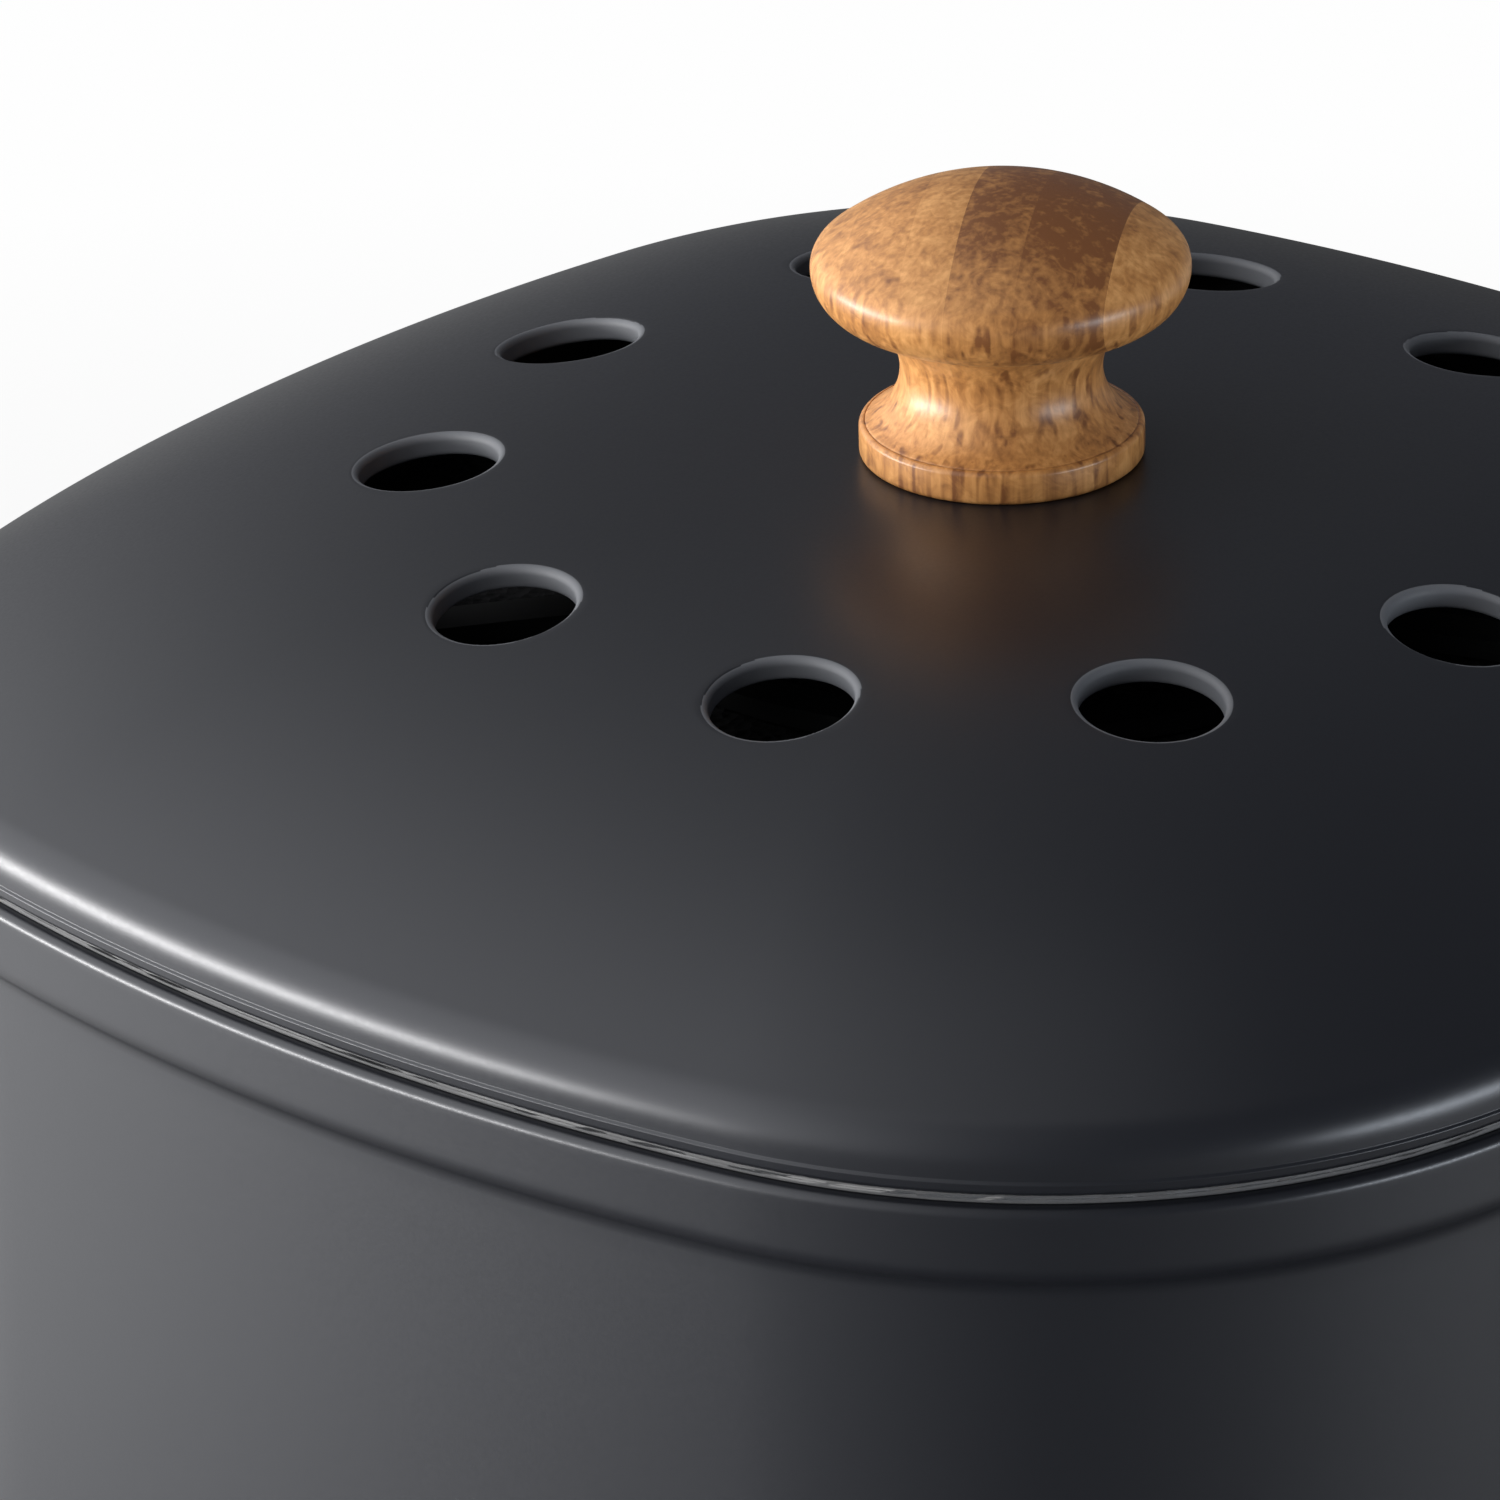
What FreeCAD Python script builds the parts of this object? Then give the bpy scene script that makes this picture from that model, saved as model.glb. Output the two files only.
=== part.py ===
import FreeCAD, Part
import math
import os
import Sketcher

# Counter-top compost bin: a rounded-square steel can, a lift-out plastic bucket with a wire bail,
# and a domed steel lid with ten vent holes, a turned bamboo knob and a carbon filter underneath.
# Millimetres, +Z up, origin on the floor under the middle of the bin. +X and +Y leave through the
# middles of two sides, the corners lie between them.

# Every size that can be set by itself, in millimetres unless the name ends in share, angle,
# count or power.
SIZES = {
    "lid_half_width": 102.0,
    "corner_radius": 64.6,
    "side_radius": 235.5,
    "steel": 0.8,
    "seat_clearance": 0.1,
    "running_clearance": 0.05,
    "cut_overrun": 2.0,
    "floor_gap": 1.5,
    "base_recess": 3.5,
    "base_hem_gap": 0.3,
    "foot_radius": 9.0,
    "foot_inset": 40.0,
    "foot_edge": 0.8,
    "rim_height": 190.0,
    "rim_bead_radius": 1.2,
    "collar_height": 8.0,
    "collar_step": 1.9,
    "step_bend_radius": 1.7,
    "plastic": 1.6,
    "flange_thickness": 1.2,
    "flange_inset": 1.0,
    "bucket_gap": 2.2,
    "bucket_taper": 4.5,
    "bucket_floor_gap": 9.4,
    "bucket_heel": 10.0,
    "ear_radius": 4.5,
    "ear_length": 5.5,
    "ear_hole_floor": 0.5,
    "wire_radius": 1.5,
    "bail_side_gap": 0.4,
    "bail_lid_gap": 1.9,
    "bail_wall_gap": 4.3,
    "bail_corner_inset": 13.0,
    "pin_bend_radius": 3.0,
    "pin_end_gap": 0.2,
    "grip_radius": 4.6,
    "grip_swell": 0.5,
    "grip_length": 62.0,
    "grip_edge": 1.0,
    "crown_height": 26.25,
    "dome_drop": 20.95,
    "dome_power": 3.33,
    "shoulder_radius": 5.5,
    "hem_radius": 0.7,
    "hem_reach": 0.4,
    "vent_inset": 3.1,
    "vent_radius": 7.0,
    "vent_lip_radius": 0.7,
    "vent_depth": 2.3,
    "ring_depth": 9.6,
    "ring_flange": 4.6,
    "ring_seat_gap": 0.15,
    "gasket_gap": 0.5,
    "gasket_thickness": 0.8,
    "gasket_height": 5.0,
    "gasket_lift": 1.8,
    "knob_base_radius": 14.1,
    "knob_base_height": 3.5,
    "knob_base_edge": 0.6,
    "knob_waist": 3.5,
    "knob_waist_rise": 5.6,
    "knob_overhang": 4.6,
    "knob_head_rise": 10.6,
    "knob_crown_rise": 8.2,
    "knob_rim_radius": 2.9,
    "insert_wall": 1.5,
    "insert_length": 12.0,
    "insert_sink": 0.5,
    "screw_radius": 2.5,
    "screw_end_gap": 1.4,
    "screw_clearance": 0.5,
    "screw_head_overhang": 2.25,
    "screw_head_height": 3.0,
    "screw_slot_width": 1.2,
    "screw_slot_depth": 1.6,
    "washer_overhang": 5.0,
    "washer_thickness": 1.2,
    "spring_washer_overhang": 2.1,
    "spring_washer_thickness": 1.2,
    "spring_washer_split": 0.8,
    "holder_inset": 32.0,
    "holder_wall": 3.0,
    "holder_lip": 1.5,
    "spider_drop": 12.7,
    "spider_thickness": 2.0,
    "spoke_width": 5.0,
    "boss_wall": 5.0,
    "hub_overhang": 3.5,
    "filter_clearance": 0.3,
    "filter_thickness": 7.6,
    "filter_hole_gap": 4.5,
    "cover_thickness": 2.0,
    "cover_clearance": 0.5,
    "lug_inset": 0.4,
    "slot_clearance": 0.3,
    "cover_vent_width": 4.0,
    "cover_vent_gap": 4.0,
    "cover_vent_margin": 6.5,
    "finger_bar_length": 46.0,
    "finger_bar_width": 5.0,
    "finger_bar_depth": 8.0,
    "finger_bar_edge": 1.5,
}
VENT_COUNT = 10
SPOKE_COUNT = 5
LUG_COUNT = 4
COVER_VENT_COUNT = 16
LUG_ANGLE = 12.0
TURN_ANGLE = 25.0
SLOT_PLAY_ANGLE = 1.0
FULL_TURN = 360.0
DOME_SHARES = (0.965, 0.945, 0.915, 0.87, 0.8, 0.71, 0.62, 0.52, 0.41, 0.29, 0.19, 0.12)
SHOULDER_STEPS = 6
SKIRT_STEPS = 3
TANGENT_STEPS = 20
# How far two places may differ, in millimetres, and still count as one.
SAME_PLACE = 1e-4

doc = FreeCAD.newDocument("CompostBin")
sheet = doc.addObject("Spreadsheet::Sheet", "Sizes")
for row, (alias, number) in enumerate(SIZES.items(), start=1):
    sheet.set("A%d" % row, alias)
    sheet.set("B%d" % row, str(number))
    sheet.setAlias("B%d" % row, alias)
doc.recompute()
made = []


class Length:
    """A size with its value and the expression that ties it to the sheet."""

    def __init__(self, value, text):
        self.value = float(value)
        self.text = text

    def __add__(self, other):
        other = as_length(other)
        return Length(self.value + other.value, "(%s + %s)" % (self.text, other.text))

    def __sub__(self, other):
        other = as_length(other)
        return Length(self.value - other.value, "(%s - %s)" % (self.text, other.text))

    def __mul__(self, factor):
        factor = as_length(factor)
        return Length(self.value * factor.value, "(%s * %s)" % (self.text, factor.text))

    def __truediv__(self, other):
        other = as_length(other)
        return Length(self.value / other.value, "(%s / %s)" % (self.text, other.text))

    def __neg__(self):
        return Length(-self.value, "(-1 * %s)" % self.text)

    def root(self):
        return Length(math.sqrt(self.value), "sqrt(%s)" % self.text)


def as_length(thing):
    if isinstance(thing, Length):
        return thing
    return Length(thing, "(%.12f)" % thing)


class Sheet:
    """Reads a size from the sheet by its alias."""

    def __getattr__(self, alias):
        return Length(sheet.get(alias), "Sizes.%s" % alias)


size = Sheet()
zero = as_length(0)

# Places that several pieces share.
shell_half = size.lid_half_width - size.collar_step
shell_inside = shell_half - size.steel
base_underside = size.floor_gap + size.base_recess
base_top = base_underside + size.steel
flange_top = size.rim_height + size.flange_thickness
bucket_half = shell_inside - size.bucket_gap
bucket_mouth_half = bucket_half - size.plastic
bucket_foot_half = bucket_half - size.bucket_taper
bucket_bottom = base_top + size.bucket_floor_gap
ring_half = bucket_mouth_half - size.gasket_gap - size.gasket_thickness
ring_bottom = flange_top - size.ring_depth
ear_reach = bucket_mouth_half - size.ear_length
ear_hole_depth = size.ear_length - size.ear_hole_floor
ear_height = ring_bottom - size.bail_lid_gap - size.grip_swell - size.grip_radius
bail_half_span = ear_reach - size.bail_side_gap - size.pin_bend_radius
bail_reach = bucket_mouth_half - size.bail_wall_gap - size.grip_swell - size.grip_radius
crown_top = flange_top + size.crown_height
crown_underside = crown_top - size.steel
lid_bottom = flange_top + size.seat_clearance
holder_radius = size.lid_half_width - size.holder_inset
holder_inside = holder_radius - size.holder_wall
vent_ring_radius = holder_inside - size.vent_inset - size.vent_radius
screw_bore = size.screw_radius + size.running_clearance
screw_head_radius = size.screw_radius + size.screw_head_overhang
insert_radius = size.screw_radius + size.insert_wall
insert_bottom = crown_top + size.insert_sink
washer_radius = size.screw_radius + size.washer_overhang
spider_underside = crown_underside - size.spider_drop
filter_top = spider_underside - size.filter_clearance
filter_bottom = filter_top - size.filter_thickness
cover_top = filter_bottom - size.filter_clearance
cover_bottom = cover_top - size.cover_thickness
cover_radius = holder_inside - size.cover_clearance
slot_floor = cover_bottom - size.slot_clearance
holder_bottom = slot_floor - size.holder_lip
screw_head_top = spider_underside - size.washer_thickness - size.spring_washer_thickness
screw_end = insert_bottom + size.insert_length - size.screw_end_gap


def plane(body, role):
    """The named origin plane or axis of a body."""
    for feature in body.Origin.OriginFeatures:
        if feature.Role == role:
            return feature
    raise ValueError(role)


def new_body(label):
    body = doc.addObject("PartDesign::Body", label)
    body.Label = label
    made.append(body)
    return body


def new_sketch(body, name, role="XY_Plane", height=None):
    """A sketch on an origin plane, raised along the plane's normal where a height is given."""
    sketch = body.newObject("Sketcher::SketchObject", name)
    sketch.AttachmentSupport = (plane(body, role), [""])
    sketch.MapMode = "FlatFace"
    if height is not None:
        sketch.AttachmentOffset.Base.z = height.value
        sketch.setExpression("AttachmentOffset.Base.z", height.text)
    return sketch


def dimension(sketch, length, kind, *points):
    """A dimension of a sketch, tied to the sheet."""
    index = sketch.addConstraint(Sketcher.Constraint(kind, *points, length.value))
    sketch.setExpression("Constraints[%d]" % index, length.text)


def pin_point(sketch, geometry, end, across, up):
    """Holds one end of a piece of geometry at a place measured from the sketch's origin."""
    if across.value == 0:
        sketch.addConstraint(Sketcher.Constraint("PointOnObject", geometry, end, -2))
    else:
        dimension(sketch, across, "DistanceX", -1, 1, geometry, end)
    if up.value == 0:
        sketch.addConstraint(Sketcher.Constraint("PointOnObject", geometry, end, -1))
    else:
        dimension(sketch, up, "DistanceY", -1, 1, geometry, end)


def arc_geometry(first, last, centre, turn):
    """The arc about a centre from one point to another, turning left (1) or right (-1)."""
    start = math.atan2(first[1].value - centre[1].value, first[0].value - centre[0].value)
    stop = math.atan2(last[1].value - centre[1].value, last[0].value - centre[0].value)
    radius = math.hypot(first[0].value - centre[0].value, first[1].value - centre[1].value)
    middle = FreeCAD.Vector(centre[0].value, centre[1].value, 0)
    circle = Part.Circle(middle, FreeCAD.Vector(0, 0, 1), radius)
    if turn < 0:
        start, stop = stop, start
    if stop < start:
        stop += 2 * math.pi
    return Part.ArcOfCircle(circle, start, stop)


def draw(sketch, start, moves, closed=True):
    """Draws lines and arcs from point to point. A move is (end,) for a line, or
    (end, centre, turn, hold), where hold says what fixes the arc's last freedom:
    "previous" or "next" for a tangent there, or a Length for its radius."""
    points = [start] + [move[0] for move in moves]
    ends = []
    for index, move in enumerate(moves):
        first, last = points[index], points[index + 1]
        if len(move) == 1:
            near = FreeCAD.Vector(first[0].value, first[1].value, 0)
            far = FreeCAD.Vector(last[0].value, last[1].value, 0)
            sketch.addGeometry(Part.LineSegment(near, far), False)
            ends.append((1, 2))
        else:
            sketch.addGeometry(arc_geometry(first, last, move[1], move[2]), False)
            ends.append((1, 2) if move[2] > 0 else (2, 1))
    count = len(moves)
    tangent_joints = set()
    for index, move in enumerate(moves):
        if len(move) > 1 and move[3] == "previous":
            tangent_joints.add((index - 1) % count)
        elif len(move) > 1 and move[3] == "next":
            tangent_joints.add(index)
    joints = count if closed else count - 1
    for index in range(joints):
        after = (index + 1) % count
        kind = "Tangent" if index in tangent_joints else "Coincident"
        sketch.addConstraint(
            Sketcher.Constraint(kind, index, ends[index][1], after, ends[after][0])
        )
    for index in range(count):
        pin_point(sketch, index, ends[index][0], *points[index])
        if len(moves[index]) > 1 and isinstance(moves[index][3], Length):
            dimension(sketch, moves[index][3], "Radius", index)
    if not closed:
        pin_point(sketch, count - 1, ends[count - 1][1], *points[count])


def corner_offset(half, corner, side):
    """How far a corner arc's centre lies from both middle planes: the corner arc touches the two
    side arcs from inside, so the centres are side minus corner apart."""
    gap = side - half
    apart = side - corner
    return (math.sqrt(2 * apart * apart - gap * gap) - gap) / 2


def outline_arcs(half, corner, side):
    """The eight arcs of the rounded square as (centre x, centre y, radius, start, stop)."""
    offset = corner_offset(half, corner, side)
    spread = math.atan2(offset, offset + side - half)
    arcs = []
    for quarter in range(4):
        turn = quarter * math.pi / 2
        cosine, sine = math.cos(turn), math.sin(turn)
        inward = half - side
        arcs.append((inward * cosine, inward * sine, side, turn - spread, turn + spread))
        across = offset * (cosine - sine)
        up = offset * (cosine + sine)
        arcs.append((across, up, corner, turn + spread, turn + math.pi / 2 - spread))
    return arcs


def outline_sketch(body, name, half, height=None):
    """The rounded-square outline parallel to the lid's, at a half width."""
    inset = size.lid_half_width - half
    corner = size.corner_radius - inset
    side = size.side_radius - inset
    sketch = new_sketch(body, name, "XY_Plane", height)
    for x, y, radius, start, stop in outline_arcs(half.value, corner.value, side.value):
        circle = Part.Circle(FreeCAD.Vector(x, y, 0), FreeCAD.Vector(0, 0, 1), radius)
        sketch.addGeometry(Part.ArcOfCircle(circle, start, stop), False)
    for arc in range(8):
        sketch.addConstraint(Sketcher.Constraint("Tangent", arc, 2, (arc + 1) % 8, 1))
    for arc in (1, 3, 5, 7):
        dimension(sketch, corner, "Radius", arc)
    for arc, kind, axis in ((0, "DistanceX", -1), (2, "DistanceY", -2)):
        sketch.addConstraint(Sketcher.Constraint("PointOnObject", arc, 3, axis))
        sketch.addConstraint(Sketcher.Constraint("PointOnObject", arc + 4, 3, axis))
        dimension(sketch, side - half, kind, arc, 3, -1, 1)
        dimension(sketch, side - half, kind, -1, 1, arc + 4, 3)
        dimension(sketch, side, "Radius", arc)
        dimension(sketch, side, "Radius", arc + 4)
    return sketch


def sweep(body, name, profile, path):
    pipe = body.newObject("PartDesign::AdditivePipe", name)
    pipe.Profile = profile
    pipe.Spine = path
    doc.recompute()
    return pipe


def ring(body, name, start, moves):
    """A wall section in X and Z, swept round the rounded-square outline."""
    section = new_sketch(body, name + "_section", "XZ_Plane")
    draw(section, start, moves)
    path = outline_sketch(body, name + "_path", size.lid_half_width)
    return sweep(body, name, section, path)


def pad(body, name, sketch, length, reverse=False):
    feature = body.newObject("PartDesign::Pad", name)
    feature.Profile = sketch
    feature.Length = length.value
    feature.setExpression("Length", length.text)
    feature.Reversed = reverse
    doc.recompute()
    return feature


def pocket(body, name, sketch, length, reverse=False):
    """Cuts a sketch into its body, and stops the build if nothing was cut."""
    before = body.Shape.Volume
    feature = body.newObject("PartDesign::Pocket", name)
    feature.Profile = sketch
    feature.Length = length.value
    feature.setExpression("Length", length.text)
    feature.Reversed = reverse
    doc.recompute()
    if not body.Shape.Volume < before:
        raise RuntimeError("%s cut nothing" % name)
    return feature


def circle_sketch(body, name, radii, role="XY_Plane", height=None, across=zero, up=zero):
    """Circles about one centre."""
    sketch = new_sketch(body, name, role, height)
    centre = FreeCAD.Vector(across.value, up.value, 0)
    for index, radius in enumerate(radii):
        circle = Part.Circle(centre, FreeCAD.Vector(0, 0, 1), radius.value)
        sketch.addGeometry(circle, False)
        pin_point(sketch, index, 3, across, up)
        dimension(sketch, radius, "Radius", index)
    return sketch


def box_sketch(body, name, low, high, role="XY_Plane", height=None):
    sketch = new_sketch(body, name, role, height)
    moves = [((high[0], low[1]),), (high,), ((low[0], high[1]),), (low,)]
    draw(sketch, low, moves)
    return sketch


def turned(body, name, start, moves, axis="V_Axis", role="XZ_Plane"):
    """A solid turned about the sketch's own upright or level axis."""
    sketch = new_sketch(body, name + "_section", role)
    draw(sketch, start, moves)
    feature = body.newObject("PartDesign::Revolution", name)
    feature.Profile = sketch
    feature.ReferenceAxis = (sketch, [axis])
    feature.Angle = FULL_TURN
    doc.recompute()
    return feature


def polar(body, name, originals, count):
    pattern = body.newObject("PartDesign::PolarPattern", name)
    pattern.Originals = originals
    pattern.Axis = (plane(body, "Z_Axis"), [""])
    pattern.Angle = FULL_TURN
    pattern.Occurrences = count
    body.Tip = pattern
    doc.recompute()
    return pattern


def mirror(body, name, originals, role):
    copy = body.newObject("PartDesign::Mirrored", name)
    copy.Originals = originals
    copy.MirrorPlane = (plane(body, role), [""])
    body.Tip = copy
    doc.recompute()
    return copy


def fillet(body, name, edges, radius):
    base = body.Tip
    feature = body.newObject("PartDesign::Fillet", name)
    feature.Base = (base, edges)
    feature.Radius = radius.value
    feature.setExpression("Radius", radius.text)
    doc.recompute()
    return feature


def edges_where(body, test):
    """Names of the edges of a body whose bounding box passes a test."""
    names = []
    for index, edge in enumerate(body.Shape.Edges, start=1):
        if test(edge):
            names.append("Edge%d" % index)
    return names


def at_height(edge, height):
    """Whether an edge lies level at a height."""
    box = edge.BoundBox
    return abs(box.ZMin - height.value) < SAME_PLACE and abs(box.ZMax - height.value) < SAME_PLACE


# The can


def make_outer_shell():
    """The can's wall: straight below, stepped out to a collar, and curled over at the rim."""
    body = new_body("outer_shell")
    steel, bead = size.steel, size.rim_bead_radius
    outer, collar = shell_half, size.lid_half_width
    middle = size.rim_height - size.collar_height
    # The step is two equal bends, each going half of its reach across and half of its height up.
    bend, reach = steel + size.step_bend_radius, size.collar_step / 2
    rise = (reach * (bend * 2 - reach)).root()
    shift = steel * reach / rise
    bead_x, bead_z = collar - bead, size.rim_height - bead
    inner_x = collar - steel
    meet = (steel * (bead * 2 - steel)).root()
    low, high = middle - rise, middle + rise
    mid_x = outer + reach
    start = (outer - steel, size.floor_gap)
    ring(body, "wall", start, [
        ((outer, size.floor_gap),),
        ((outer, low),),
        ((mid_x, middle), (outer + bend, low), -1, "previous"),
        ((collar, high), (collar - bend, high), 1, "previous"),
        ((collar, bead_z),),
        ((inner_x, bead_z - meet), (bead_x, bead_z), 1, bead),
        ((inner_x, high + shift),),
        ((mid_x - steel, middle + shift), (inner_x - bend, high + shift), -1, "previous"),
        ((outer - steel, low + shift), (outer - steel + bend, low + shift), 1, "previous"),
        (start,),
    ])


def make_base_plate():
    """The pressed bottom of the can: a flat plate with its edge turned down inside the wall."""
    body = new_body("base_plate")
    half = shell_inside - size.running_clearance
    hem_bottom = size.floor_gap + size.base_hem_gap
    full = outline_sketch(body, "plate_outline", half, hem_bottom)
    pad(body, "plate", full, base_top - hem_bottom)
    inner = outline_sketch(body, "recess_outline", half - size.steel, hem_bottom)
    pocket(body, "recess", inner, base_underside - hem_bottom, reverse=True)


def make_foot_pads():
    """Four rubber pads under the base plate, near the corners."""
    place = size.lid_half_width - size.foot_inset
    corners = {"back_right": (1, 1), "back_left": (-1, 1),
               "front_left": (-1, -1), "front_right": (1, -1)}
    for name, (across, up) in corners.items():
        body = new_body("foot_pad_" + name)
        circle = circle_sketch(
            body, "pad_circle", [size.foot_radius], across=place * across, up=place * up
        )
        pad(body, "pad", circle, base_underside)
        bottom = edges_where(body, lambda edge: at_height(edge, zero))
        fillet(body, "pad_edge", bottom, size.foot_edge)


# The bucket


def make_inner_bucket():
    """The plastic bucket: a flange that hangs on the rim, a tapered wall, a rounded heel, a floor
    and two inside ears for the bail's pins."""
    body = new_body("inner_bucket")
    wall, heel = size.plastic, size.bucket_heel
    top, under = flange_top, size.rim_height
    flange_edge = size.lid_half_width - size.flange_inset
    heel_x = bucket_foot_half - heel
    heel_z = bucket_bottom + heel
    floor_edge = heel_x - size.cut_overrun
    start = (floor_edge, bucket_bottom)
    ring(body, "wall", start, [
        ((heel_x, bucket_bottom),),
        ((bucket_foot_half, heel_z), (heel_x, heel_z), 1, "previous"),
        ((bucket_half, under),),
        ((flange_edge, under),),
        ((flange_edge, top),),
        ((bucket_mouth_half, top),),
        ((bucket_foot_half - wall, heel_z),),
        ((heel_x, bucket_bottom + wall), (heel_x, heel_z), -1, "next"),
        ((floor_edge, bucket_bottom + wall),),
        (start,),
    ])
    floor = outline_sketch(body, "floor_outline", floor_edge + size.cut_overrun / 2, bucket_bottom)
    pad(body, "floor", floor, wall)
    ear = circle_sketch(
        body, "ear_circle", [size.ear_radius], "XZ_Plane", -ear_reach, up=ear_height
    )
    boss = pad(body, "ear", ear, size.ear_length, reverse=True)
    bore = circle_sketch(
        body, "ear_hole_circle", [size.wire_radius + size.running_clearance],
        "XZ_Plane", -ear_reach, up=ear_height,
    )
    hole = pocket(body, "ear_hole", bore, ear_hole_depth)
    mirror(body, "other_ear", [boss, hole], "XZ_Plane")


def make_bucket_bail():
    """The steel wire bail, folded down inside the bucket's mouth."""
    body = new_body("bucket_bail")
    span, reach = bail_half_span, bail_reach
    corner, bend = size.corner_radius - size.bail_corner_inset, size.pin_bend_radius
    pin_end = ear_reach + ear_hole_depth - size.pin_end_gap
    path = new_sketch(body, "wire_path", "XY_Plane", ear_height)
    start = (zero, pin_end)
    draw(path, start, [
        ((zero, span + bend),),
        ((bend, span), (bend, span + bend), 1, "previous"),
        ((reach - corner, span),),
        ((reach, span - corner), (reach - corner, span - corner), -1, "previous"),
        ((reach, corner - span),),
        ((reach - corner, -span), (reach - corner, corner - span), -1, "previous"),
        ((bend, -span),),
        ((zero, -span - bend), (bend, -span - bend), 1, "previous"),
        ((zero, -pin_end),),
    ], closed=False)
    section = circle_sketch(
        body, "wire_circle", [size.wire_radius], "XZ_Plane", -pin_end, up=ear_height
    )
    sweep(body, "wire", section, path)


def make_bail_grip():
    """The plastic grip that turns freely on the bail's straight run."""
    body = new_body("bail_grip")
    half = size.grip_length / 2
    bore = size.wire_radius + size.running_clearance
    edge = size.grip_edge
    swell = size.grip_swell
    bow = (half * half + swell * swell) / (swell * 2)
    middle = size.grip_radius + swell - bow
    start = (-half, bore)
    turned(body, "grip", start, [
        ((half, bore),),
        ((half, size.grip_radius),),
        ((-half, size.grip_radius), (zero, middle), 1, bow),
        (start,),
    ], axis="H_Axis", role="YZ_Plane")
    ends = edges_where(
        body,
        lambda edge: edge.BoundBox.YLength < SAME_PLACE
        and abs(edge.BoundBox.XLength - 2 * size.grip_radius.value) < SAME_PLACE,
    )
    fillet(body, "grip_ends", ends, edge)
    body.Placement.Base = FreeCAD.Vector(bail_reach.value, 0, ear_height.value)
    body.setExpression("Placement.Base.x", bail_reach.text)
    body.setExpression("Placement.Base.z", ear_height.text)


# The lid


def slope_at(share, half):
    """Slope angle of the dome along a line through the middle of a side."""
    power = size.dome_power.value
    return math.atan(power * size.dome_drop.value * share ** (power - 1) / half)


def dome_fall(share):
    """How far the dome has come down at a share of the way from the middle to the outline."""
    return size.dome_drop * share ** size.dome_power.value


def dome_height(share, crown):
    """Height of the dome at a share of the way from the middle to the outline."""
    return crown - dome_fall(share).value


def shoulder_tangent(half, radius):
    """Share and slope where the dome runs into the shoulder's arc, found by repeated steps."""
    share = 1 - radius / half / 2
    for _ in range(TANGENT_STEPS):
        angle = slope_at(share, half)
        share = (half - radius + radius * math.sin(angle)) / half
    return share, angle


def outline_wire(half, share, height):
    """The lid's outline with an inset, scaled towards the middle by a share, at a height."""
    inset = size.lid_half_width.value - half
    corner = (size.corner_radius.value - inset) * share
    side = (size.side_radius.value - inset) * share
    edges = []
    for x, y, radius, start, stop in outline_arcs(half * share, corner, side):
        circle = Part.Circle(FreeCAD.Vector(x, y, height), FreeCAD.Vector(0, 0, 1), radius)
        edges.append(Part.ArcOfCircle(circle, start, stop).toShape())
    return Part.Wire(edges)


def dome_solid(half, crown, radius, bottom):
    """Everything under a dome: a straight skirt up from the bottom, the shoulder's arc, and the
    dome itself, whose fall from the crown follows a power of the share."""
    edge_share, angle = shoulder_tangent(half, radius)
    centre = dome_height(edge_share, crown) - radius * math.cos(angle)
    wires = []
    for step in range(SKIRT_STEPS):
        wires.append(outline_wire(half, 1.0, bottom + (centre - bottom) * step / SKIRT_STEPS))
    for step in range(SHOULDER_STEPS + 1):
        lean = math.pi / 2 - (math.pi / 2 - angle) * step / SHOULDER_STEPS
        reach = half - radius + radius * math.sin(lean)
        wires.append(outline_wire(half, reach / half, centre + radius * math.cos(lean)))
    for share in DOME_SHARES:
        wires.append(outline_wire(half, share, dome_height(share, crown)))
    return Part.makeLoft(wires, True, False)


def outline_reach(angle):
    """Distance from the middle to the lid's outline in one direction."""
    half = size.lid_half_width.value
    corner = size.corner_radius.value
    side = size.side_radius.value
    for x, y, radius, start, stop in outline_arcs(half, corner, side):
        along = x * math.cos(angle) + y * math.sin(angle)
        reach = along + math.sqrt(along * along - x * x - y * y + radius * radius)
        lean = math.atan2(reach * math.sin(angle) - y, reach * math.cos(angle) - x)
        if (lean - start) % (2 * math.pi) <= stop - start:
            return reach
    raise ValueError(angle)


def dome_point(x, y):
    """The point of the outer dome above a place."""
    distance = math.hypot(x, y)
    share = distance / outline_reach(math.atan2(y, x))
    return FreeCAD.Vector(x, y, dome_height(share, crown_top.value))


def vent_placement(angle):
    """The place of a vent hole, with its axis square to the dome there."""
    ring_radius = vent_ring_radius.value
    step = size.vent_radius.value
    x = ring_radius * math.cos(angle)
    y = ring_radius * math.sin(angle)
    along_x = dome_point(x + step, y) - dome_point(x - step, y)
    along_y = dome_point(x, y + step) - dome_point(x, y - step)
    normal = along_x.cross(along_y)
    turn = FreeCAD.Rotation(FreeCAD.Vector(0, 0, 1), normal)
    return FreeCAD.Placement(dome_point(x, y), turn)


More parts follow.
